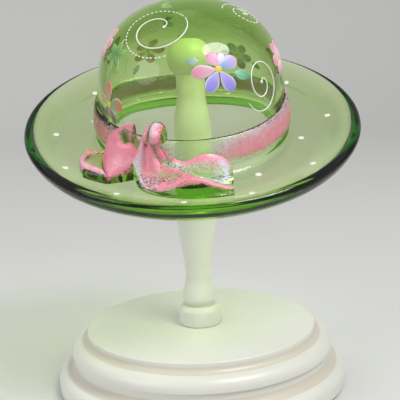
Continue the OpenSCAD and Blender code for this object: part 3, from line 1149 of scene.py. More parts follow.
@dataclass
class HatPart:
    """What the hat's sub-assemblies share: its form and the finishes."""

    form: HatForm
    finishes: Finishes

    def set_on(self, obj: Object, material: Material, slot: Slot, *nodes: str) -> None:
        """Moves a piece from the hat's own frame to its place and dresses it."""
        obj.data.transform(self.form.pose)
        dress(obj, material, Body.HAT, slot, *nodes)

    def paint(self, obj: Object, cover: np.ndarray, frost: np.ndarray) -> None:
        """Makes a film on the hat sponged enamel.

        Args:
            obj: The film.
            cover: Share of paint at each of its points.
            frost: Share of white dabs at each of its points.
        """
        for name, share in (("cover", cover), ("frost", frost)):
            set_values(obj.data, name, np.clip(share, 0, 1))
        self.set_on(obj, self.finishes.stipple, Slot.PAINTED_GLASS)


@dataclass(frozen=True)
class WornPatch:
    """A stretch of the band with less paint: its azimuth, width, loss of paint and white."""

    az: float
    width: float
    loss: float
    white: float


@dataclass
class GlassHat(HatPart):
    """Crown and brim in one piece of glass, with the applied band."""

    segments: int = 288
    shell_crisp: float = 60
    band_crisp: float = 50
    band_steps: int = 32
    band_round: float = 6
    band_back: float = 0.05
    film: Pair = (0.08, 0.02)
    cover: Table = ((0, 0.12, 0.3, 0.7, 1), (0, 0.3, 0.84, 0.8, 0.5))
    frost: float = 0.14
    top_frost: float = 0.45
    worn: tuple[WornPatch, ...] = (
        WornPatch(az=0, width=17, loss=0.62, white=0.6),
        WornPatch(az=-76, width=26, loss=0.38, white=-0.15))

    def build(self) -> None:
        """Builds the glass, the band and the band's enamel."""
        form = self.form
        shell = lathe(form.outline(), self.segments, False)
        self.set_on(mesh_object("look_hat_shell", *shell, self.shell_crisp),
                    self.finishes.glass, Slot.GREEN_GLASS, "hat_shell")
        t = (1 - np.cos(np.linspace(0, np.pi, self.band_steps + 1))) / 2
        z = mix(form.band_z, form.band_top, t)
        wall = form.wall_r(z)
        r = wall + form.band_t * mix(shoulder(t, self.band_round), 1, form.band_edge)
        band = self._ring(r, wall + self.band_back, z)
        self.set_on(mesh_object("look_hat_band", *band, self.band_crisp),
                    self.finishes.glass, Slot.PAINTED_GLASS, "hat_band")
        self._enamel(r, z)

    def _ring(self, outer: np.ndarray, inner: np.ndarray,
              z: np.ndarray) -> tuple[np.ndarray, Faces]:
        """Points and faces of a ring between two lines of radii at the given heights."""
        outline = [*zip(outer, z), *zip(inner[::-1], z[::-1])]
        return lathe([(float(r), float(h)) for r, h in outline], self.segments, True)

    def _enamel(self, r: np.ndarray, z: np.ndarray) -> None:
        """Lays the sponged pink on the band's face.

        Args:
            r: Radii of the face from its lower to its upper edge.
            z: Heights of the same points.
        """
        points, faces = self._ring(r + self.film[0], r + self.film[1], z)
        film = mesh_object("enamel_band", points, faces, self.band_crisp)
        az = np.degrees(np.arctan2(points[:, 0], -points[:, 1]))
        level = (points[:, 2] - z[0]) / (z[-1] - z[0])
        cover = np.interp(level, *self.cover)
        frost = self.frost + self.top_frost * level**2
        for worn in self.worn:
            share = bump((az - worn.az + 180) % 360 - 180, 0, worn.width)
            cover, frost = cover - worn.loss * share, frost + worn.white * share
        self.paint(film, cover, frost)


@dataclass(frozen=True)
class Bell:
    """A change that is full at one place and dies away to both sides."""

    at: float
    width: float
    weight: float = 1.0

    def over(self, x: np.ndarray) -> np.ndarray:
        """The change at each x."""
        return self.weight * bump(x, self.at, self.width)


@dataclass(frozen=True)
class Fade:
    """A change that sets in at one place and is full after a run."""

    start: float
    run: float
    weight: float = 1.0

    def over(self, x: np.ndarray) -> np.ndarray:
        """The change at each x."""
        return self.weight * np.clip((x - self.start) / self.run, 0, 1)


TwoWay = tuple[Bell | Fade, Bell | Fade]


def patch(change: TwoWay, u: np.ndarray, v: np.ndarray) -> np.ndarray:
    """A change that takes both directions: the product of its two shares."""
    return change[0].over(u) * change[1].over(v)


def ridge(change: TwoWay, u: np.ndarray, v: np.ndarray) -> np.ndarray:
    """A change that takes either direction: the larger of its two shares."""
    return np.maximum(change[0].over(u), change[1].over(v))


@dataclass
class Bow(HatPart):
    """Draped glass bow in five pieces, each with its sponged enamel.

    Tables over the drape run from drape_az's first azimuth to its last, or outwards from the band.
    """

    # All pieces
    glass_crisp: float = 45
    film_crisp: float = 60
    film: Pair = (0.1, 0.03)
    edge_t: float = 1.2
    seam_az: float = 0.03

    # The draped ribbon that the folds and the right tail are cut from
    ridge_h: float = 18
    drape_az: Pair = (-30, 22)
    drape_reach: Steps = (0.4, 0.78, 0.96, 1.04, 1.1, 1.13, 1.15, 1.15, 1.16)
    valley_at: Steps = (0.35, 0.3, 0.2, 0.28, 0.34, 0.41, 0.47, 0.55, 0.58)
    fold_at: Steps = (0.65, 0.5, 0.34, 0.45, 0.53, 0.61, 0.69, 0.8, 0.82)
    roll_at: Steps = (0.95, 0.86, 0.86, 0.82, 0.82, 0.81, 0.83, 0.88, 0.9)
    upper_h: Steps = (1.4, 1.38, 1.33, 0.86, 0.74, 0.94, 0.96, 0.79, 0.36)
    valley_h: Steps = (1.08, 0.92, 0.97, 0.72, 0.54, 0.38, 0.25, 0.17, 0.14)
    fold_h: Steps = (0.88, 0.64, 0.83, 0.81, 0.7, 0.55, 0.37, 0.21, 0.17)
    roll_h: Steps = (0.66, 0.25, 0.22, 0.36, 0.63, 0.63, 0.41, 0.22, 0.18)
    border_h: float = 0.3
    crease_az: float = -27.9
    crease_step_az: float = 4.4
    crease_spread: float = 3.4
    crease_end_az: float = -9
    crease_h: float = 2

    # Centre folds
    folds_steps: tuple[int, int] = (90, 60)
    folds_az: Pair = (-30, -15)
    folds_cover: Table = ((0, 0.25, 0.5, 0.62, 0.75, 0.84, 0.9),
                          (0.95, 0.92, 0.85, 0.58, 0.62, 0.4, 0))
    folds_bare: Bell = Bell(-21.3, 1.1, 0.65)
    folds_bare_fade: float = 0.7
    folds_frost: float = 0.1
    folds_white: Bell = Bell(-27.6, 0.9, 0.5)
    folds_hem_white: Fade = Fade(0.5, 0.2, 0.35)

    # Right tail
    tail_steps: tuple[int, int] = (130, 70)
    tail_w: float = 22
    tail_start_az: float = -14.98
    tail_end_x: float = 24.5
    tail_cover_left: Table = ((0, 0.06, 0.14, 0.25, 0.42, 0.5, 0.58, 0.68, 0.75, 0.82, 0.88),
                              (0.85, 0.65, 0.42, 0.36, 0.45, 0.8, 0.5, 0.42, 0.95, 0.75, 0))
    tail_cover_right: Table = ((0, 0.05, 0.1, 0.2, 0.45, 0.52, 0.68, 0.78, 0.86),
                               (0.95, 0.92, 0.48, 0.33, 0.32, 0.65, 0.95, 0.85, 0))
    tail_change: Fade = Fade(0.25, 0.3)
    tail_end: TwoWay = (Bell(0.88, 0.1), Bell(0.14, 0.14))
    tail_end_cover: float = 0.2
    tail_end_white: float = 0.5
    tail_cut_bare: Fade = Fade(0.93, 0.07, 0.4)
    tail_frost: float = 0.1
    tail_white: Bell = Bell(0.25, 0.17, 0.75)

    # Left loop
    loop_steps: tuple[int, int] = (80, 70)
    loop_h: float = 38
    loop_w: float = 21
    loop_left_az: Steps = (-48.5, -49.2, -47.6, -42.5, -38)
    loop_right_az: float = -30.03
    loop_top: Steps = (0.67, 0.7, 0.77, 0.87, 0.94, 0.98, 0.97)
    loop_drop: Steps = (0.97, 1, 0.88, 0.7, 0.53, 0.4, 0.3, 0.14)
    loop_left_edge: Steps = (0.95, 0.65, 0.42, 0.36, 0.36)
    loop_join: Pair = (0.92, 0.6)
    loop_round: float = 2.8
    loop_hollow: TwoWay = (Bell(0.75, 0.24), Bell(0.3, 0.15))
    loop_hollow_h: float = 8
    loop_cover: float = 0.93
    loop_hole: TwoWay = (Bell(0.68, 0.19, 1.05), Bell(0.26, 0.1))
    loop_corner_bare: TwoWay = (Fade(0.8, 0.12, 0.5), Fade(0.4, -0.15))
    loop_hem_bare: Fade = Fade(0.9, 0.1, 0.75)
    loop_frost: float = 0.06
    loop_white: Bell = Bell(0.8, 0.12, 0.25)

    # Left tail
    left_tail_steps: tuple[int, int] = (56, 56)
    left_tail_w: float = 26
    left_tail_inner_w: float = 21.5
    left_tail_h: float = 7
    left_tail_az: Steps = (-59, -62, -61.5, -58.5, -49)
    left_tail_floor: float = 0.7
    left_tail_rim: TwoWay = (Bell(0.14, 0.14), Bell(0.86, 0.14))
    left_tail_edge: float = 0.35
    left_tail_round: float = 8
    left_tail_cover: float = 0.26
    left_tail_border: TwoWay = (Bell(0.09, 0.16, 0.6), Bell(0.85, 0.1, 0.6))
    left_tail_hem_bare: Fade = Fade(0.93, 0.05, 1.2)
    left_tail_frost: float = 0.2
    left_tail_white: Bell = Bell(0.82, 0.15, 0.3)

    # Knot
    knot_steps: tuple[int, int] = (60, 40)
    knot_h: float = 11.5
    knot_az: Pair = (-25.6, -14.4)
    knot_relief: float = 13
    knot_crease: float = 0.3
    knot_small: float = 0.8
    knot_round: Pair = (2.5, 3)
    knot_edge: float = 0.4
    knot_cover: float = 0.35
    knot_lump_cover: float = 0.6
    knot_side_bare: Bell = Bell(0.95, 0.1, 0.3)
    knot_frost: float = 0.15
    knot_white: Bell = Bell(0.5, 0.2, 0.55)

    def _piece(self, node: str, face: np.ndarray, seat: np.ndarray,
               cover: np.ndarray, frost: np.ndarray) -> None:
        """Builds one piece of glass and the enamel film on its face.

        Args:
            node: Name of the solid that it stands for.
            face: Grid of the shaped face, in the hat's frame.
            seat: Grid of the seat below it.
            cover: Share of paint at each of the face's points.
            frost: Share of white dabs at each of the face's points.
        """
        glass = mesh_object("look_" + node, *slab(face, seat), self.glass_crisp)
        # The bow's glass uses the denser copy of the hat's glass, darkened as painted shade.
        self.set_on(glass, self.finishes.shaded_bow_glass, Slot.PAINTED_GLASS, node)
        normals = grid_normals(face)
        sides = slab(*(face + lift * normals for lift in self.film))
        film = mesh_object("enamel_" + node, *sides, self.film_crisp)
        self.paint(film, *(np.tile(share.ravel(), 2) for share in (cover, frost)))

    @staticmethod
    def _uv(nu: int, nv: int) -> tuple[np.ndarray, np.ndarray]:
        """Grids of shares across a piece and outwards."""
        steps = (np.linspace(0, 1, n + 1) for n in (nu, nv))
        return tuple(np.meshgrid(*steps, indexing="ij"))

    def _crease_line(self, az: np.ndarray, t: np.ndarray) -> np.ndarray:
        """Azimuth at the band of the crease line through each point."""
        return self.crease_az + (az - self.crease_az) / (1 + self.crease_spread * t)

    def _drape(self, az: np.ndarray, t: np.ndarray) -> tuple[np.ndarray, np.ndarray, np.ndarray]:
        """Face and seat of the draped ribbon.

        Args:
            az: Grid of azimuths in degrees.
            t: Grid of shares of the ribbon's reach.

        Returns:
            Face grid, seat grid, and each point's share from the band over the folds to the border.
        """
        s = (az - self.drape_az[0]) / (self.drape_az[1] - self.drape_az[0])
        lines = [curve(s, row) for row in (self.valley_at, self.fold_at, self.roll_at)]
        at = np.stack([np.zeros_like(s), *lines, np.ones_like(s)])
        k = (t[None] >= at[1:-1]).sum(0)
        low, high = (np.take_along_axis(at, (k + i)[None], 0)[0] for i in (0, 1))
        x = (k + (t - low) / (high - low)) / (len(at) - 1)
        rows = (self.upper_h, self.valley_h, self.fold_h, self.roll_h)
        levels = [curve(s, row) for row in rows]
        height = curve(x, levels + [self.border_h * levels[-1]])
        fade = np.clip((self.crease_end_az - az) / self.crease_step_az, 0, 1)
        turn = 2 * np.pi * (self._crease_line(az, t) - self.crease_az) / self.crease_step_az
        crease = self.crease_h * (1 - t) * (np.cos(turn) - 1) * fade
        r = self.form.seat_r + self.tail_w * curve(s, self.drape_reach) * t
        seat_z = self.form.brim_seat(r)
        z = np.minimum(self.ridge_h * height + crease, self.form.band_top)
        return polar(az, r, np.maximum(z, seat_z + self.edge_t)), polar(az, r, seat_z), x

    def _folds(self) -> None:
        """Centre folds that fall from the knot."""
        u, t = self._uv(*self.folds_steps)
        az = mix(*self.folds_az, u)
        face, seat, x = self._drape(az, t)
        line = self._crease_line(az, t)
        cover = np.interp(x, *self.folds_cover)
        cover = cover - self.folds_bare.over(line) * (1 - self.folds_bare_fade * t)
        frost = self.folds_frost + self.folds_white.over(line) + self.folds_hem_white.over(x)
        self._piece("bow_center_folds", face, seat, cover, frost)

    def _right_tail(self) -> None:
        """Right tail with its wavy edge and cut end."""
        u, t = self._uv(*self.tail_steps)
        reach = self.form.seat_r + self.tail_w * self.drape_reach[-2]
        end = np.degrees(np.arcsin(self.tail_end_x / mix(self.form.seat_r, reach, t)))
        face, seat, x = self._drape(mix(self.tail_start_az, end, u), t)
        left, right = (np.interp(x, *row) for row in (self.tail_cover_left, self.tail_cover_right))
        dabs = patch(self.tail_end, u, x)
        cover = mix(left, right, self.tail_change.over(u)) + self.tail_end_cover * dabs
        cover = cover - self.tail_cut_bare.over(u)
        frost = self.tail_frost + self.tail_white.over(x) + self.tail_end_white * dabs
        self._piece("bow_right_tail", face, seat, cover, frost)

    def _left_loop(self) -> None:
        """Puffed left loop with its hollow."""
        u, v = self._uv(*self.loop_steps)
        fold, _, _ = self._drape(np.full_like(v, self.folds_az[0]), v)
        fold_r = np.hypot(fold[..., 0], fold[..., 1])
        r = mix(self.form.seat_r + self.loop_w * v, fold_r, u)
        az = mix(curve(v, self.loop_left_az), self.loop_right_az, u)
        seat_z = self.form.brim_seat(r)
        top = self.loop_h * curve(u, self.loop_top) * curve(v, self.loop_drop)
        top = top - self.loop_hollow_h * patch(self.loop_hollow, u, v)
        edge = mix(curve(v, self.loop_left_edge), 1, u)
        top = top * mix(shoulder(u, self.loop_round), 1, edge)
        start = mix(*self.loop_join, v)
        top = ease(top, fold[..., 2], np.maximum((u - start) / (1 - start), 0))
        face = polar(az, r, np.maximum(top, seat_z + self.edge_t))
        cover = self.loop_cover - patch(self.loop_hole, u, v)
        cover = cover - patch(self.loop_corner_bare, u, v) - self.loop_hem_bare.over(v)
        frost = self.loop_frost + self.loop_white.over(v)
        self._piece("bow_left_loop", face, polar(az, r, seat_z), cover, frost)

    def _left_tail(self) -> None:
        """Low left tail with a raised edge."""
        u, v = self._uv(*self.left_tail_steps)
        r = self.form.seat_r + v * mix(self.left_tail_w, self.left_tail_inner_w, u)
        beside = np.minimum(v * self.left_tail_inner_w / self.loop_w, 1)
        inner = curve(beside, self.loop_left_az) - self.seam_az
        az = mix(curve(v, self.left_tail_az), inner, u)
        level = mix(self.left_tail_floor, 1, ridge(self.left_tail_rim, u, v))
        across, outwards = (
            mix(shoulder(x, self.left_tail_round), 1, self.left_tail_edge) for x in (u, v))
        rise = self.left_tail_h * level * (across * outwards)
        seat_z = self.form.brim_seat(r)
        face = polar(az, r, seat_z + np.maximum(rise, self.edge_t))
        cover = self.left_tail_cover + ridge(self.left_tail_border, u, v)
        cover = cover - self.left_tail_hem_bare.over(v)
        frost = self.left_tail_frost + self.left_tail_white.over(v)
        self._piece("bow_left_tail", face, polar(az, r, seat_z), cover, frost)

    def _knot(self) -> None:
        """Knot above the band, with its crease."""
        u, v = self._uv(*self.knot_steps)
        small = self.knot_small * np.sin(np.pi * u / self.knot_crease)
        large = np.sin(np.pi * (u - self.knot_crease) / (1 - self.knot_crease))
        lump = np.where(u < self.knot_crease, small, large)
        height = self.knot_h * (1 - v) * mix(shoulder(u, self.knot_round[0]), 1, self.knot_edge)
        z = self.form.band_top + self.form.fuse_gap + height
        seat_r = self.form.dome_r(z) + self.form.fuse_gap
        bulge = mix(np.sqrt(np.maximum(lump, 0)), 1, self.knot_edge)
        bulge = (self.knot_relief - self.edge_t) * bulge * shoulder(v, self.knot_round[1])
        az = mix(*self.knot_az, u)
        face = polar(az, seat_r + self.edge_t + bulge, z)
        cover = self.knot_cover + self.knot_lump_cover * np.clip(lump, 0, 1)
        cover = cover - self.knot_side_bare.over(u)
        frost = self.knot_frost + self.knot_white.over(u) * (1 - v)
        self._piece("bow_knot", face, polar(az, seat_r, z), cover, frost)

    def build(self) -> None:
        """Builds the five pieces."""
        self._knot()
        self._left_loop()
        self._left_tail()
        self._folds()
        self._right_tail()


class PaintTrees:
    """Geometry Nodes that lay brush marks and strokes."""

    LINE_SIDES = 10

    def __init__(self) -> None:
        """Builds both trees."""
        self.stamps = self._stamps()
        self.strokes = self._strokes()

    @staticmethod
    def _start(name: str, sockets: dict[str, str]) -> tuple[Tree, Sockets, Node]:
        """Starts a tree with geometry in and out and further named inputs.

        Args:
            name: The tree's name.
            sockets: Kind of each further input.

        Returns:
            The builder, the input sockets by name, and the output node.
        """
        tree = bpy.data.node_groups.new(name, "GeometryNodeTree")
        inputs = {"Geometry": "NodeSocketGeometry", **sockets, "Material": "NodeSocketMaterial"}
        for key, kind in inputs.items():
            tree.interface.new_socket(key, in_out="INPUT", socket_type=kind)
        tree.interface.new_socket("Geometry", in_out="OUTPUT", socket_type=inputs["Geometry"])
        build = Tree(tree)
        source = build.add("NodeGroupInput")
        return build, {key: source.outputs[key] for key in inputs}, build.add("NodeGroupOutput")

    @staticmethod
    def _own(build: Tree, name: str, kind: str) -> NodeSocket:
        """Reads one of the points' own attributes."""
        own = build.add("GeometryNodeInputNamedAttribute", {"Name": name}, data_type=kind)
        return own.outputs[0]

    @staticmethod
    def _finish(build: Tree, shape: NodeSocket, material: NodeSocket, out: Node) -> NodeTree:
        """Ends a tree in plain geometry with its material.

        Args:
            build: The tree's builder.
            shape: The finished geometry.
            material: The material's socket.
            out: The output node.

        Returns:
            The tree.
        """
        real = build.add("GeometryNodeRealizeInstances", {"Geometry": shape}).outputs[0]
        painted = build.add("GeometryNodeSetMaterial", {"Geometry": real, "Material": material})
        build.plug(out, {"Geometry": painted.outputs[0]})
        return build.tree

    def _stamps(self) -> NodeTree:
        """One mark on each point, turned and sized by the point's own attributes.

        Returns:
            The tree.
        """
        sockets = {"Mark": "NodeSocketObject", "Size": "NodeSocketFloat"}
        build, source, out = self._start("brush_marks", sockets)
        mark = build.add("GeometryNodeObjectInfo", {"Object": source["Mark"]})
        turn, reach = (self._own(build, name, "FLOAT_VECTOR") for name in ("turn", "reach"))
        size = {0: reach, "Scale": source["Size"]}
        laid = build.add("GeometryNodeInstanceOnPoints", {
            "Points": source["Geometry"],
            "Instance": mark.outputs["Geometry"],
            "Rotation": build.add("FunctionNodeEulerToRotation", {0: turn}).outputs[0],
            "Scale": build.add("ShaderNodeVectorMath", size, operation="SCALE").outputs[0],
        })
        return self._finish(build, laid.outputs[0], source["Material"], out)

    def _strokes(self) -> NodeTree:
        """A round line of paint along each path, thinner where its taper is small.

        Returns:
            The tree.
        """
        build, source, out = self._start("brush_strokes", {"Radius": "NodeSocketFloat"})
        path = build.add("GeometryNodeMeshToCurve", {"Mesh": source["Geometry"]}).outputs[0]
        circle = {"Resolution": self.LINE_SIDES, "Radius": source["Radius"]}
        tube = build.add("GeometryNodeCurveToMesh", {
            "Curve": path,
            "Profile Curve": build.add("GeometryNodeCurvePrimitiveCircle", circle).outputs[0],
            "Scale": self._own(build, "taper", "FLOAT"),
            "Fill Caps": True,
        })
        return self._finish(build, tube.outputs[0], source["Material"], out)

    @staticmethod
    def apply(name: str, mesh: Mesh, tree: NodeTree, values: dict[str, Any]) -> Mesh:
        """Runs a tree on a mesh and keeps the result as a plain mesh.

        Args:
            name: The result's name.
            mesh: Points or paths with their attributes.
            tree: The tree to run.
            values: Value of each named input.

        Returns:
            The new mesh.
        """
        holder = link(name + "_paths", mesh)
        run = holder.modifiers.new("paint", "NODES")
        run.node_group = tree
        for item in tree.interface.items_tree:
            if item.in_out == "INPUT" and item.name in values:
                run[item.identifier] = values[item.name]
        graph = bpy.context.evaluated_depsgraph_get()
        result = bpy.data.meshes.new_from_object(
            holder.evaluated_get(graph), preserve_all_data_layers=True, depsgraph=graph)
        holder.modifiers.remove(run)
        bpy.data.objects.remove(holder)
        result.name = name
        return result


@dataclass(frozen=True)
class Stamp:
    """Shape of one brush mark, one unit long and wide, in steps along and across."""

    steps: tuple[int, int]
    fullness: float
    lean: float = 0.0

    @property
    def start(self) -> float:
        """Where it begins: a leaning mark at its root, a straight one before its middle."""
        return 0.0 if self.lean else -0.5

    def half(self, x: np.ndarray) -> np.ndarray:
        """Half its width along it; a leaning mark comes to points, a straight one is round.

        Args:
            x: Shares of its length.

        Returns:
            One half width for each share.
        """
        if self.lean:
            return 0.5 * np.sin(np.pi * x**self.lean) ** self.fullness
        return 0.5 * shoulder(x, self.fullness)


STAMPS = {
    StampKind.PETAL: Stamp((14, 8), fullness=0.62, lean=1.35),
    StampKind.LEAF: Stamp((14, 8), fullness=1.15, lean=0.85),
    StampKind.DASH: Stamp((6, 4), fullness=4),
    StampKind.DOT: Stamp((8, 8), fullness=2),
}


@dataclass
class Mark:
    """One brush mark: where it starts, which way it runs, and its colours."""

    at: np.ndarray
    heading: np.ndarray
    normal: np.ndarray
    length: float
    width: float
    root: Colour
    tip: Colour
    edging: float = 0.0


def dot(at: np.ndarray, heading: np.ndarray, normal: np.ndarray, d: float, tint: Colour) -> Mark:
    """A round mark of one colour."""
    return Mark(at, heading, normal, d, d, tint, tint)


@dataclass(frozen=True)
class Petal:
    """One petal or leaf of a spray, in degrees and millimetres on the crown."""

    heading: float
    length: float
    width: float
    root: Colour
    tip: Colour
    offset: Pair = (0.0, 0.0)
    edging: float = 0.0


@dataclass(frozen=True)
class Spray:
    """A flower or a tuft of leaves on the crown, placed by azimuth and height."""

    az: float
    z: float
    petals: tuple[Petal, ...] = ()
    leaves: tuple[Petal, ...] = ()
    eye: Colour | None = None
    gap: float = 1.6
    leaf_gap: float = 0.6


@dataclass(frozen=True)
class Spiral:
    """A painted spiral on the crown, solid up to a share of its run and dashed after that."""

    az: float
    z: float
    radius: float
    turns: float
    start: float
    solid: float = 1.0
    power: float = 0.8
    squeeze: Pair = (1.0, 1.0)


WHITE = srgb(248, 248, 240)
YELLOW = srgb(232, 214, 70)
AMBER = srgb(240, 206, 110)
LEAF_DARK, LEAF_LIGHT = srgb(66, 136, 54), srgb(148, 204, 98)


def petals(count: int, length: float, width: float, root: Colour, tip: Colour,
           start: float, edging: float = 0.7) -> tuple[Petal, ...]:
    """Even petals round a flower's eye, in two tones, from a first heading on."""
    headings = (start + 360 * i / count for i in range(count))
    return tuple(Petal(a, length, width, root, tip, edging=edging) for a in headings)


def leaf(heading: float, length: float, width: float, offset: Pair) -> Petal:
    """A leaf beside a flower, dark at its tip."""
    return Petal(heading, length, width, LEAF_LIGHT, LEAF_DARK, offset)


def tuft(*leaves: Point) -> tuple[Petal, ...]:
    """Leaves from one root, light at their tips, by heading, length and width."""
    return tuple(Petal(*sizes, LEAF_DARK, LEAF_LIGHT) for sizes in leaves)


SPRAYS = (
    Spray(19.8, 67.0, (
        Petal(106, 12.5, 9.0, srgb(232, 190, 212), srgb(228, 124, 176), edging=0.5),
        Petal(178, 18.0, 9.0, srgb(228, 196, 212), srgb(224, 136, 166), edging=0.55),
        Petal(63, 11.0, 5.4, srgb(196, 186, 230), srgb(240, 236, 250), edging=0.6),
        Petal(20, 14.5, 9.6, srgb(112, 176, 226), srgb(226, 180, 222), edging=0.6),
        Petal(-126, 16.5, 8.8, srgb(196, 188, 250), srgb(138, 128, 230), edging=0.9),
        Petal(-64, 17.5, 8.8, srgb(190, 184, 250), srgb(140, 134, 232), edging=0.9),
    ), (
        Petal(-24, 15, 6.4, srgb(150, 222, 180), srgb(56, 146, 98), (9, -3.5)),
        Petal(168, 9.5, 6.0, srgb(170, 200, 190), srgb(120, 168, 150), (-10.5, 7.5)),
    ), eye=YELLOW),
    Spray(-57.6, 38.1, (
        Petal(172, 12.5, 6.6, srgb(176, 178, 138), srgb(222, 132, 96), edging=0.5),
        Petal(96, 15.5, 7.4, srgb(186, 178, 140), srgb(234, 112, 88), edging=0.5),
        Petal(14, 15.5, 9.8, srgb(124, 176, 134), srgb(216, 124, 78), edging=0.5),
        Petal(-119, 13.0, 5.6, srgb(150, 132, 136), srgb(96, 74, 84), edging=0.6),
        Petal(-56, 13.5, 6.6, srgb(160, 140, 140), srgb(118, 80, 112), edging=0.6),
    ), (Petal(96, 14, 5.4, LEAF_LIGHT, srgb(120, 160, 90), (-6, 17)),), eye=YELLOW),
    Spray(-63, 67, leaves=tuft(
        (150, 12, 5.2), (100, 13, 5.4), (42, 12, 5.2), (205, 11, 5.0), (-30, 11, 5.0))),
    Spray(-92, 66, petals(6, 13, 8, srgb(250, 224, 232), srgb(240, 136, 150), 20), eye=YELLOW),
    Spray(81, 55, petals(6, 13, 8, srgb(252, 228, 236), srgb(240, 120, 160), 50),
          (leaf(-70, 12, 5.4, (3, -14)),), eye=YELLOW),
    Spray(146, 44, petals(6, 14, 8.4, srgb(222, 214, 250), srgb(146, 138, 232), 10),
          (leaf(200, 13, 5.6, (-13, -5)), leaf(-30, 13, 5.6, (12, -6))), eye=YELLOW),
    Spray(-150, 52, petals(5, 14, 8.6, srgb(246, 214, 190), srgb(232, 128, 92), 35),
          (leaf(-60, 13, 5.6, (7, -12)),), eye=YELLOW),
    Spray(-120, 86.6, leaves=(
        Petal(70, 12, 6, LEAF_LIGHT, srgb(96, 150, 70)),
        Petal(150, 9, 4.6, LEAF_LIGHT, LEAF_DARK))),
)
SPIRALS = (
    Spiral(-40, 84, radius=25, turns=1.8, start=30, solid=0.5, power=0.45),
    Spiral(49, 51.5, radius=20, turns=-1.75, start=116, squeeze=(0.8, 1.0)),
    Spiral(168, 60, radius=15, turns=1.8, start=60, solid=0.0),
    Spiral(96, 81, radius=15, turns=1.7, start=200, solid=0.15),
    Spiral(-122, 44, radius=13, turns=1.7, start=40, solid=0.6),
    Spiral(113, 40, radius=12, turns=1.6, start=0, solid=0.55),
)
WHITE_DOTS = (
    (-88.6, 94), (-59.4, 96.9), (-30, 96.9), (-103, 71.6), (-130, 93), (95.5, 94.8),
    (74.5, 75.7), (53.9, 95.1), (31.9, 77.4), (21.5, 96), (-4, 97), (120, 76),
    (132, 95), (165, 95), (158, 76), (-164, 95), (-146, 76))
AMBER_DOTS = ((-70.5, 74), (178, 77))


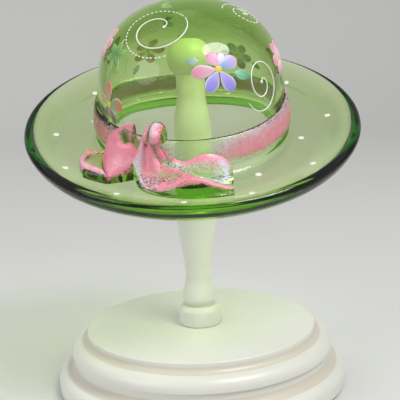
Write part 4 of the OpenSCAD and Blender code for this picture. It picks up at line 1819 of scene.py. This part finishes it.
@dataclass
class PaintedCrown(HatPart):
    """Enamel flowers, leaves, spirals and dots on the glass."""

    trees: PaintTrees

    # Brush marks
    film: float = 0.35
    border_lift: float = 0.25
    seat_lift: float = 0.05
    least_half: float = 0.012
    end_power: float = 6
    pale_edge: Fade = Fade(0.72, 0.28)
    midrib: float = 0.12
    leaf_edging: float = 0.3
    lot_step: float = 17.3
    merge: float = 1e-6

    # Spirals: solid line, middle dot and dashes
    line_r: float = 0.42
    line_lift: float = 0.1
    line_end: float = 0.55
    line_end_power: float = 6
    spiral_steps: int = 400
    spiral_eye: float = 0.02
    spiral_dot_d: float = 2.2
    dash: Pair = (1.9, 0.9)
    dash_step: float = 2.9

    # Dots on the brim and eyes of the flowers
    dot_d: float = 4.4
    eye_d: float = 4.6
    marks: dict[StampKind, list[Mark]] = field(
        default_factory=lambda: {kind: [] for kind in StampKind})

    def _chart(self, az: float, z: float) -> tuple[np.ndarray, np.ndarray, np.ndarray, np.ndarray]:
        """Finds a place on the crown.

        Args:
            az: Its azimuth in degrees.
            z: Its height above the brim's flat.

        Returns:
            The place, and its directions to the right, up and outwards.
        """
        start = polar(np.array([az]), self.form.dome_r(np.array([z])), np.array([z]))
        centre, normal = (row[0] for row in self.form.settle(start))
        a = math.radians(az)
        right = np.array([math.cos(a), math.sin(a), 0])
        return centre, right, np.cross(normal, right), normal

    def _spray(self, spray: Spray) -> None:
        """Adds the marks of one flower or tuft.

        Args:
            spray: The flower or tuft.
        """
        centre, right, up, normal = self._chart(spray.az, spray.z)
        kinds = ((StampKind.PETAL, spray.petals, spray.gap, 0.0),
                 (StampKind.LEAF, spray.leaves, spray.leaf_gap, self.leaf_edging))
        for kind, members, gap, least in kinds:
            for petal in members:
                a = math.radians(petal.heading)
                way = math.cos(a) * right + math.sin(a) * up
                root = centre + petal.offset[0] * right + petal.offset[1] * up + gap * way
                self.marks[kind].append(Mark(root, way, normal, petal.length - gap, petal.width,
                                             petal.root, petal.tip, max(petal.edging, least)))
        if spray.eye:
            self.marks[StampKind.DOT].append(dot(centre, right, normal, self.eye_d, spray.eye))

    def _spiral(self, spiral: Spiral) -> np.ndarray:
        """Adds a spiral's dashes and its middle dot.

        Args:
            spiral: The spiral.

        Returns:
            Points of its solid line on the glass.
        """
        centre, right, up, _ = self._chart(spiral.az, spiral.z)
        share = np.linspace(self.spiral_eye, 1, self.spiral_steps)
        angle = np.radians(spiral.start + 360 * spiral.turns * share)
        r = spiral.radius * share**spiral.power
        flat = centre + (r * spiral.squeeze[0] * np.cos(angle))[:, None] * right
        flat = flat + (r * spiral.squeeze[1] * np.sin(angle))[:, None] * up
        points, normals = self.form.settle(flat)
        steps = np.linalg.norm(np.diff(points, axis=0), axis=1)
        run = np.concatenate([[0], np.cumsum(steps)])
        solid = run[-1] * spiral.solid
        for at in np.arange(solid + self.dash_step, run[-1], self.dash_step):
            k = int(np.searchsorted(run, at))
            way = points[min(k + 1, len(points) - 1)] - points[k - 1]
            way = way / np.linalg.norm(way)
            self.marks[StampKind.DASH].append(
                Mark(points[k], way, normals[k], *self.dash, WHITE, WHITE))
        self.marks[StampKind.DOT].append(
            dot(points[0], right, normals[0], self.spiral_dot_d, WHITE))
        return (points + self.line_lift * normals)[run <= solid]

    def _stamp(self, kind: StampKind) -> Mesh:
        """Flat mesh of one mark, with the shares that its paint and its lift follow.

        Args:
            kind: Which mark.

        Returns:
            The mesh.
        """
        stamp = STAMPS[kind]
        along, across = stamp.steps
        u, v = np.meshgrid(
            np.linspace(0, 1, along + 1), np.linspace(-1, 1, across + 1), indexing="ij")
        half = np.maximum(stamp.half(u), self.least_half)
        face = np.stack([u + stamp.start, v * half, np.zeros_like(u)], -1)
        points, faces = slab(face, face)
        mesh = bpy.data.meshes.new(kind.value)
        mesh.from_pydata(points.tolist(), [], faces)
        rim = np.maximum(np.abs(v), np.abs(2 * u - 1) ** self.end_power)
        edge = self.pale_edge.over(rim)
        if kind is StampKind.LEAF:
            edge = np.maximum(edge, bump(v, 0, self.midrib) * (1 - u))
        for name, values in (("along", u), ("across", v), ("rim", edge)):
            set_values(mesh, name, np.tile(values.ravel(), 2))
        swell = np.sqrt(np.maximum(1 - rim**2, 0)).ravel()
        lift = [mix(self.border_lift, 1, swell), np.full(swell.size, self.seat_lift)]
        set_values(mesh, "lift", np.concatenate(lift))
        return mesh

    def _lay(self, name: str, kind: StampKind, marks: Sequence[Mark],
             settle: Callable[[np.ndarray], Settled]) -> None:
        """Lays marks on the glass as one piece.

        Args:
            name: The piece's name.
            kind: Which mark is repeated.
            marks: Where and how each lies.
            settle: Finds places on the glass and the normals there.
        """
        points = bpy.data.meshes.new(name + "_points")
        points.from_pydata([(m.at * MM).tolist() for m in marks], [], [])
        turns = []
        for m in marks:
            x = m.heading - m.normal * np.dot(m.heading, m.normal)
            x = x / np.linalg.norm(x)
            axes = np.stack([x, np.cross(m.normal, x), m.normal], 1)
            turns.append(tuple(Matrix(axes.tolist()).to_euler("XYZ")))
        for key, rows in (("turn", turns),
                          ("reach", [(m.length, m.width, 1.0) for m in marks]),
                          ("root_tint", [(*m.root, 1) for m in marks]),
                          ("tip_tint", [(*m.tip, 1) for m in marks]),
                          ("edging", [m.edging for m in marks]),
                          ("lot", self.lot_step * np.arange(len(marks)))):
            set_values(points, key, np.array(rows))
        stamp = link(kind.value, self._stamp(kind))
        values = {"Mark": stamp, "Size": MM, "Material": self.finishes.enamel}
        mesh = self.trees.apply(name, points, self.trees.stamps, values)
        bpy.data.objects.remove(stamp)
        co, lift = np.empty(len(mesh.vertices) * 3), np.empty(len(mesh.vertices))
        mesh.vertices.foreach_get("co", co)
        mesh.attributes["lift"].data.foreach_get("value", lift)
        places, normals = settle(co.reshape(-1, 3) / MM)
        lifted = (places + self.film * lift[:, None] * normals) * MM
        mesh.vertices.foreach_set("co", lifted.ravel())
        self._keep(name, mesh)

    def _lines(self, name: str, paths: Sequence[np.ndarray], least: int = 4) -> None:
        """Lays solid lines of white paint as one piece.

        Args:
            name: The piece's name.
            paths: Points of each line on the glass.
            least: Number of points below which a line is left out.
        """
        paths = [p for p in paths if len(p) >= least]
        edges, tapers, start = [], [], 0
        for p in paths:
            edges += [(start + i, start + i + 1) for i in range(len(p) - 1)]
            full = shoulder(np.linspace(0, 1, len(p)), self.line_end_power)
            tapers.append(mix(self.line_end, 1, full))
            start += len(p)
        mesh = bpy.data.meshes.new(name + "_paths")
        mesh.from_pydata((np.concatenate(paths) * MM).tolist(), edges, [])
        set_values(mesh, "taper", np.concatenate(tapers))
        values = {"Radius": self.line_r * MM, "Material": self.finishes.enamel}
        result = self.trees.apply(name, mesh, self.trees.strokes, values)
        count = len(result.vertices)
        for key in ("root_tint", "tip_tint"):
            set_values(result, key, np.tile((*WHITE, 1), (count, 1)))
        for key in ("along", "across", "rim", "edging", "lot"):
            set_values(result, key, np.zeros(count))
        self._keep(name, result)

    def _keep(self, name: str, mesh: Mesh) -> None:
        """Makes a painted mesh a piece of the hat."""
        turn_outwards(mesh, self.merge)
        self.set_on(link(name, mesh), self.finishes.enamel, Slot.PAINTED_GLASS)

    def build(self) -> None:
        """Lays all the painted decoration."""
        for spray in SPRAYS:
            self._spray(spray)
        lines = [self._spiral(spiral) for spiral in SPIRALS]
        for kind, marks in self.marks.items():
            self._lay("enamel_" + kind.value, kind, marks, self.form.settle)
        self._lines("enamel_spirals", lines)
        dots = []
        for places, tint in ((WHITE_DOTS, WHITE), (AMBER_DOTS, AMBER)):
            az, r = np.array(places).T
            for spot, normal in zip(*self.form.settle_brim(polar(az, r, 0.0))):
                dots.append(dot(spot, np.array([1.0, 0, 0]), normal, self.dot_d, tint))
        self._lay("enamel_brim_dots", StampKind.DOT, dots, self.form.settle_brim)


@dataclass(frozen=True)
class Lamp:
    """A soft round lamp aimed at a point, in metres and watts."""

    name: str
    place: Point
    target: Point
    width: float
    power: float
    mirrored: bool = True

    def hang(self) -> None:
        """Hangs the lamp, with or without its mirror image in the glass."""
        data = bpy.data.lights.new(self.name, "AREA")
        data.shape, data.size, data.size_y = "ELLIPSE", self.width, self.width
        data.energy = self.power
        lamp = link(self.name, data)
        aim = (Vector(self.target) - Vector(self.place)).to_track_quat("-Z", "Y")
        lamp.matrix_world = Matrix.Translation(self.place) @ aim.to_matrix().to_4x4()
        lamp.visible_glossy, lamp.visible_transmission = self.mirrored, False


@dataclass
class Studio:
    """Pale floor and backdrop, soft lamps, and the photograph's camera, in metres."""

    # Floor, backdrop and surround
    floor_colour: Colour = (0.74, 0.74, 0.73)
    floor_mottle: float = 0.95
    floor_mottle_scale: float = 3
    floor_roughness: float = 0.7
    floor_reach: float = 12.0
    floor_depth: float = 1.2
    floor_bend: float = 0.5
    floor_steps: int = 15
    backdrop_h: float = 3.2
    surround: float = 0.58
    surround_seen: float = 0.95
    surround_strength: float = 0.6

    # Camera and lamps
    eye: Point = (0.0031, -0.680, 0.2745)
    pitch: float = 11.94
    roll: float = -2.39
    lens: float = 90
    sensor: float = 36
    nearest: float = 0.01
    lamps: tuple[Lamp, ...] = (
        Lamp("key", (0.62, -0.6, 1.4), (0, 0, 0.15), width=0.7, power=16),
        Lamp("fill", (-1.0, -0.7, 0.7), (0, 0, 0.15), width=0.8, power=4),
        Lamp("back", (-1.1, 1.0, 1.3), (0, 0, 0.2), width=1.0, power=5, mirrored=False))

    def _camera(self) -> None:
        """Places the camera."""
        p, r = math.radians(self.pitch), math.radians(self.roll)
        ahead, side = Vector((0, math.cos(p), -math.sin(p))), Vector((1, 0, 0))
        over = side.cross(ahead)
        right = math.cos(r) * side + math.sin(r) * over
        up = math.cos(r) * over - math.sin(r) * side
        data = bpy.data.cameras.new("camera")
        data.lens, data.sensor_width, data.clip_start = self.lens, self.sensor, self.nearest
        camera = link("camera", data)
        turn = Matrix((right, up, -ahead)).transposed().to_4x4()
        camera.matrix_world = Matrix.Translation(self.eye) @ turn
        bpy.context.scene.camera = camera

    def _floor(self) -> None:
        """Lays a floor that curves up into a backdrop."""
        bend, depth, reach = self.floor_bend, self.floor_depth, self.floor_reach
        curved = arc(depth, bend, bend, -90, 0, self.floor_steps)
        path = [(-reach, 0.0), *curved, (depth + bend, self.backdrop_h)]
        points = [(x, y, z) for y, z in path for x in (-reach, reach)]
        faces = [(2 * i, 2 * i + 1, 2 * i + 3, 2 * i + 2) for i in range(len(path) - 1)]
        mesh = bpy.data.meshes.new("floor")
        mesh.from_pydata(points, [], faces)
        mesh.polygons.foreach_set("use_smooth", [True] * len(mesh.polygons))
        floor = link("floor", mesh)
        material, build, bsdf, _ = shader("pale_floor")
        mottle = build.noise(build.place(), self.floor_mottle_scale, detail=2)
        second = tuple(self.floor_mottle * c for c in self.floor_colour)
        colour = build.blend(mottle, self.floor_colour, second)
        build.plug(bsdf, {"Base Color": colour, "Roughness": self.floor_roughness})
        mesh.materials.append(material)

    def _world(self) -> None:
        """Sets a plain pale surround."""
        world = bpy.data.worlds.new("surround")
        world.use_nodes = True
        bpy.context.scene.world = world
        build = Tree(world.node_tree)
        path = build.add("ShaderNodeLightPath").outputs
        seen = build.math("MAXIMUM", path["Is Camera Ray"], path["Is Glossy Ray"])
        seen = build.math("MAXIMUM", seen, path["Is Transmission Ray"])
        colour = build.blend(seen, (self.surround,) * 3, (self.surround_seen,) * 3)
        back = world.node_tree.nodes["Background"]
        build.plug(back, {"Color": colour, "Strength": self.surround_strength})

    def build(self) -> None:
        """Sets the camera, the floor and the light."""
        self._camera()
        self._floor()
        self._world()
        for lamp in self.lamps:
            lamp.hang()
        bpy.context.scene.view_settings.view_transform = "Standard"


def main() -> None:
    """Builds the studio, the stand and the hat in order."""
    logging.basicConfig(level=logging.INFO, format="%(name)s: %(message)s")
    Studio().build()
    finishes = Finishes()
    stand = Stand(finishes)
    stand.build()
    form = HatForm(stand.bumper_c, stand.bumper_r)
    GlassHat(form, finishes).build()
    Bow(form, finishes).build()
    PaintedCrown(form, finishes, PaintTrees()).build()


if __name__ == "__main__":
    main()
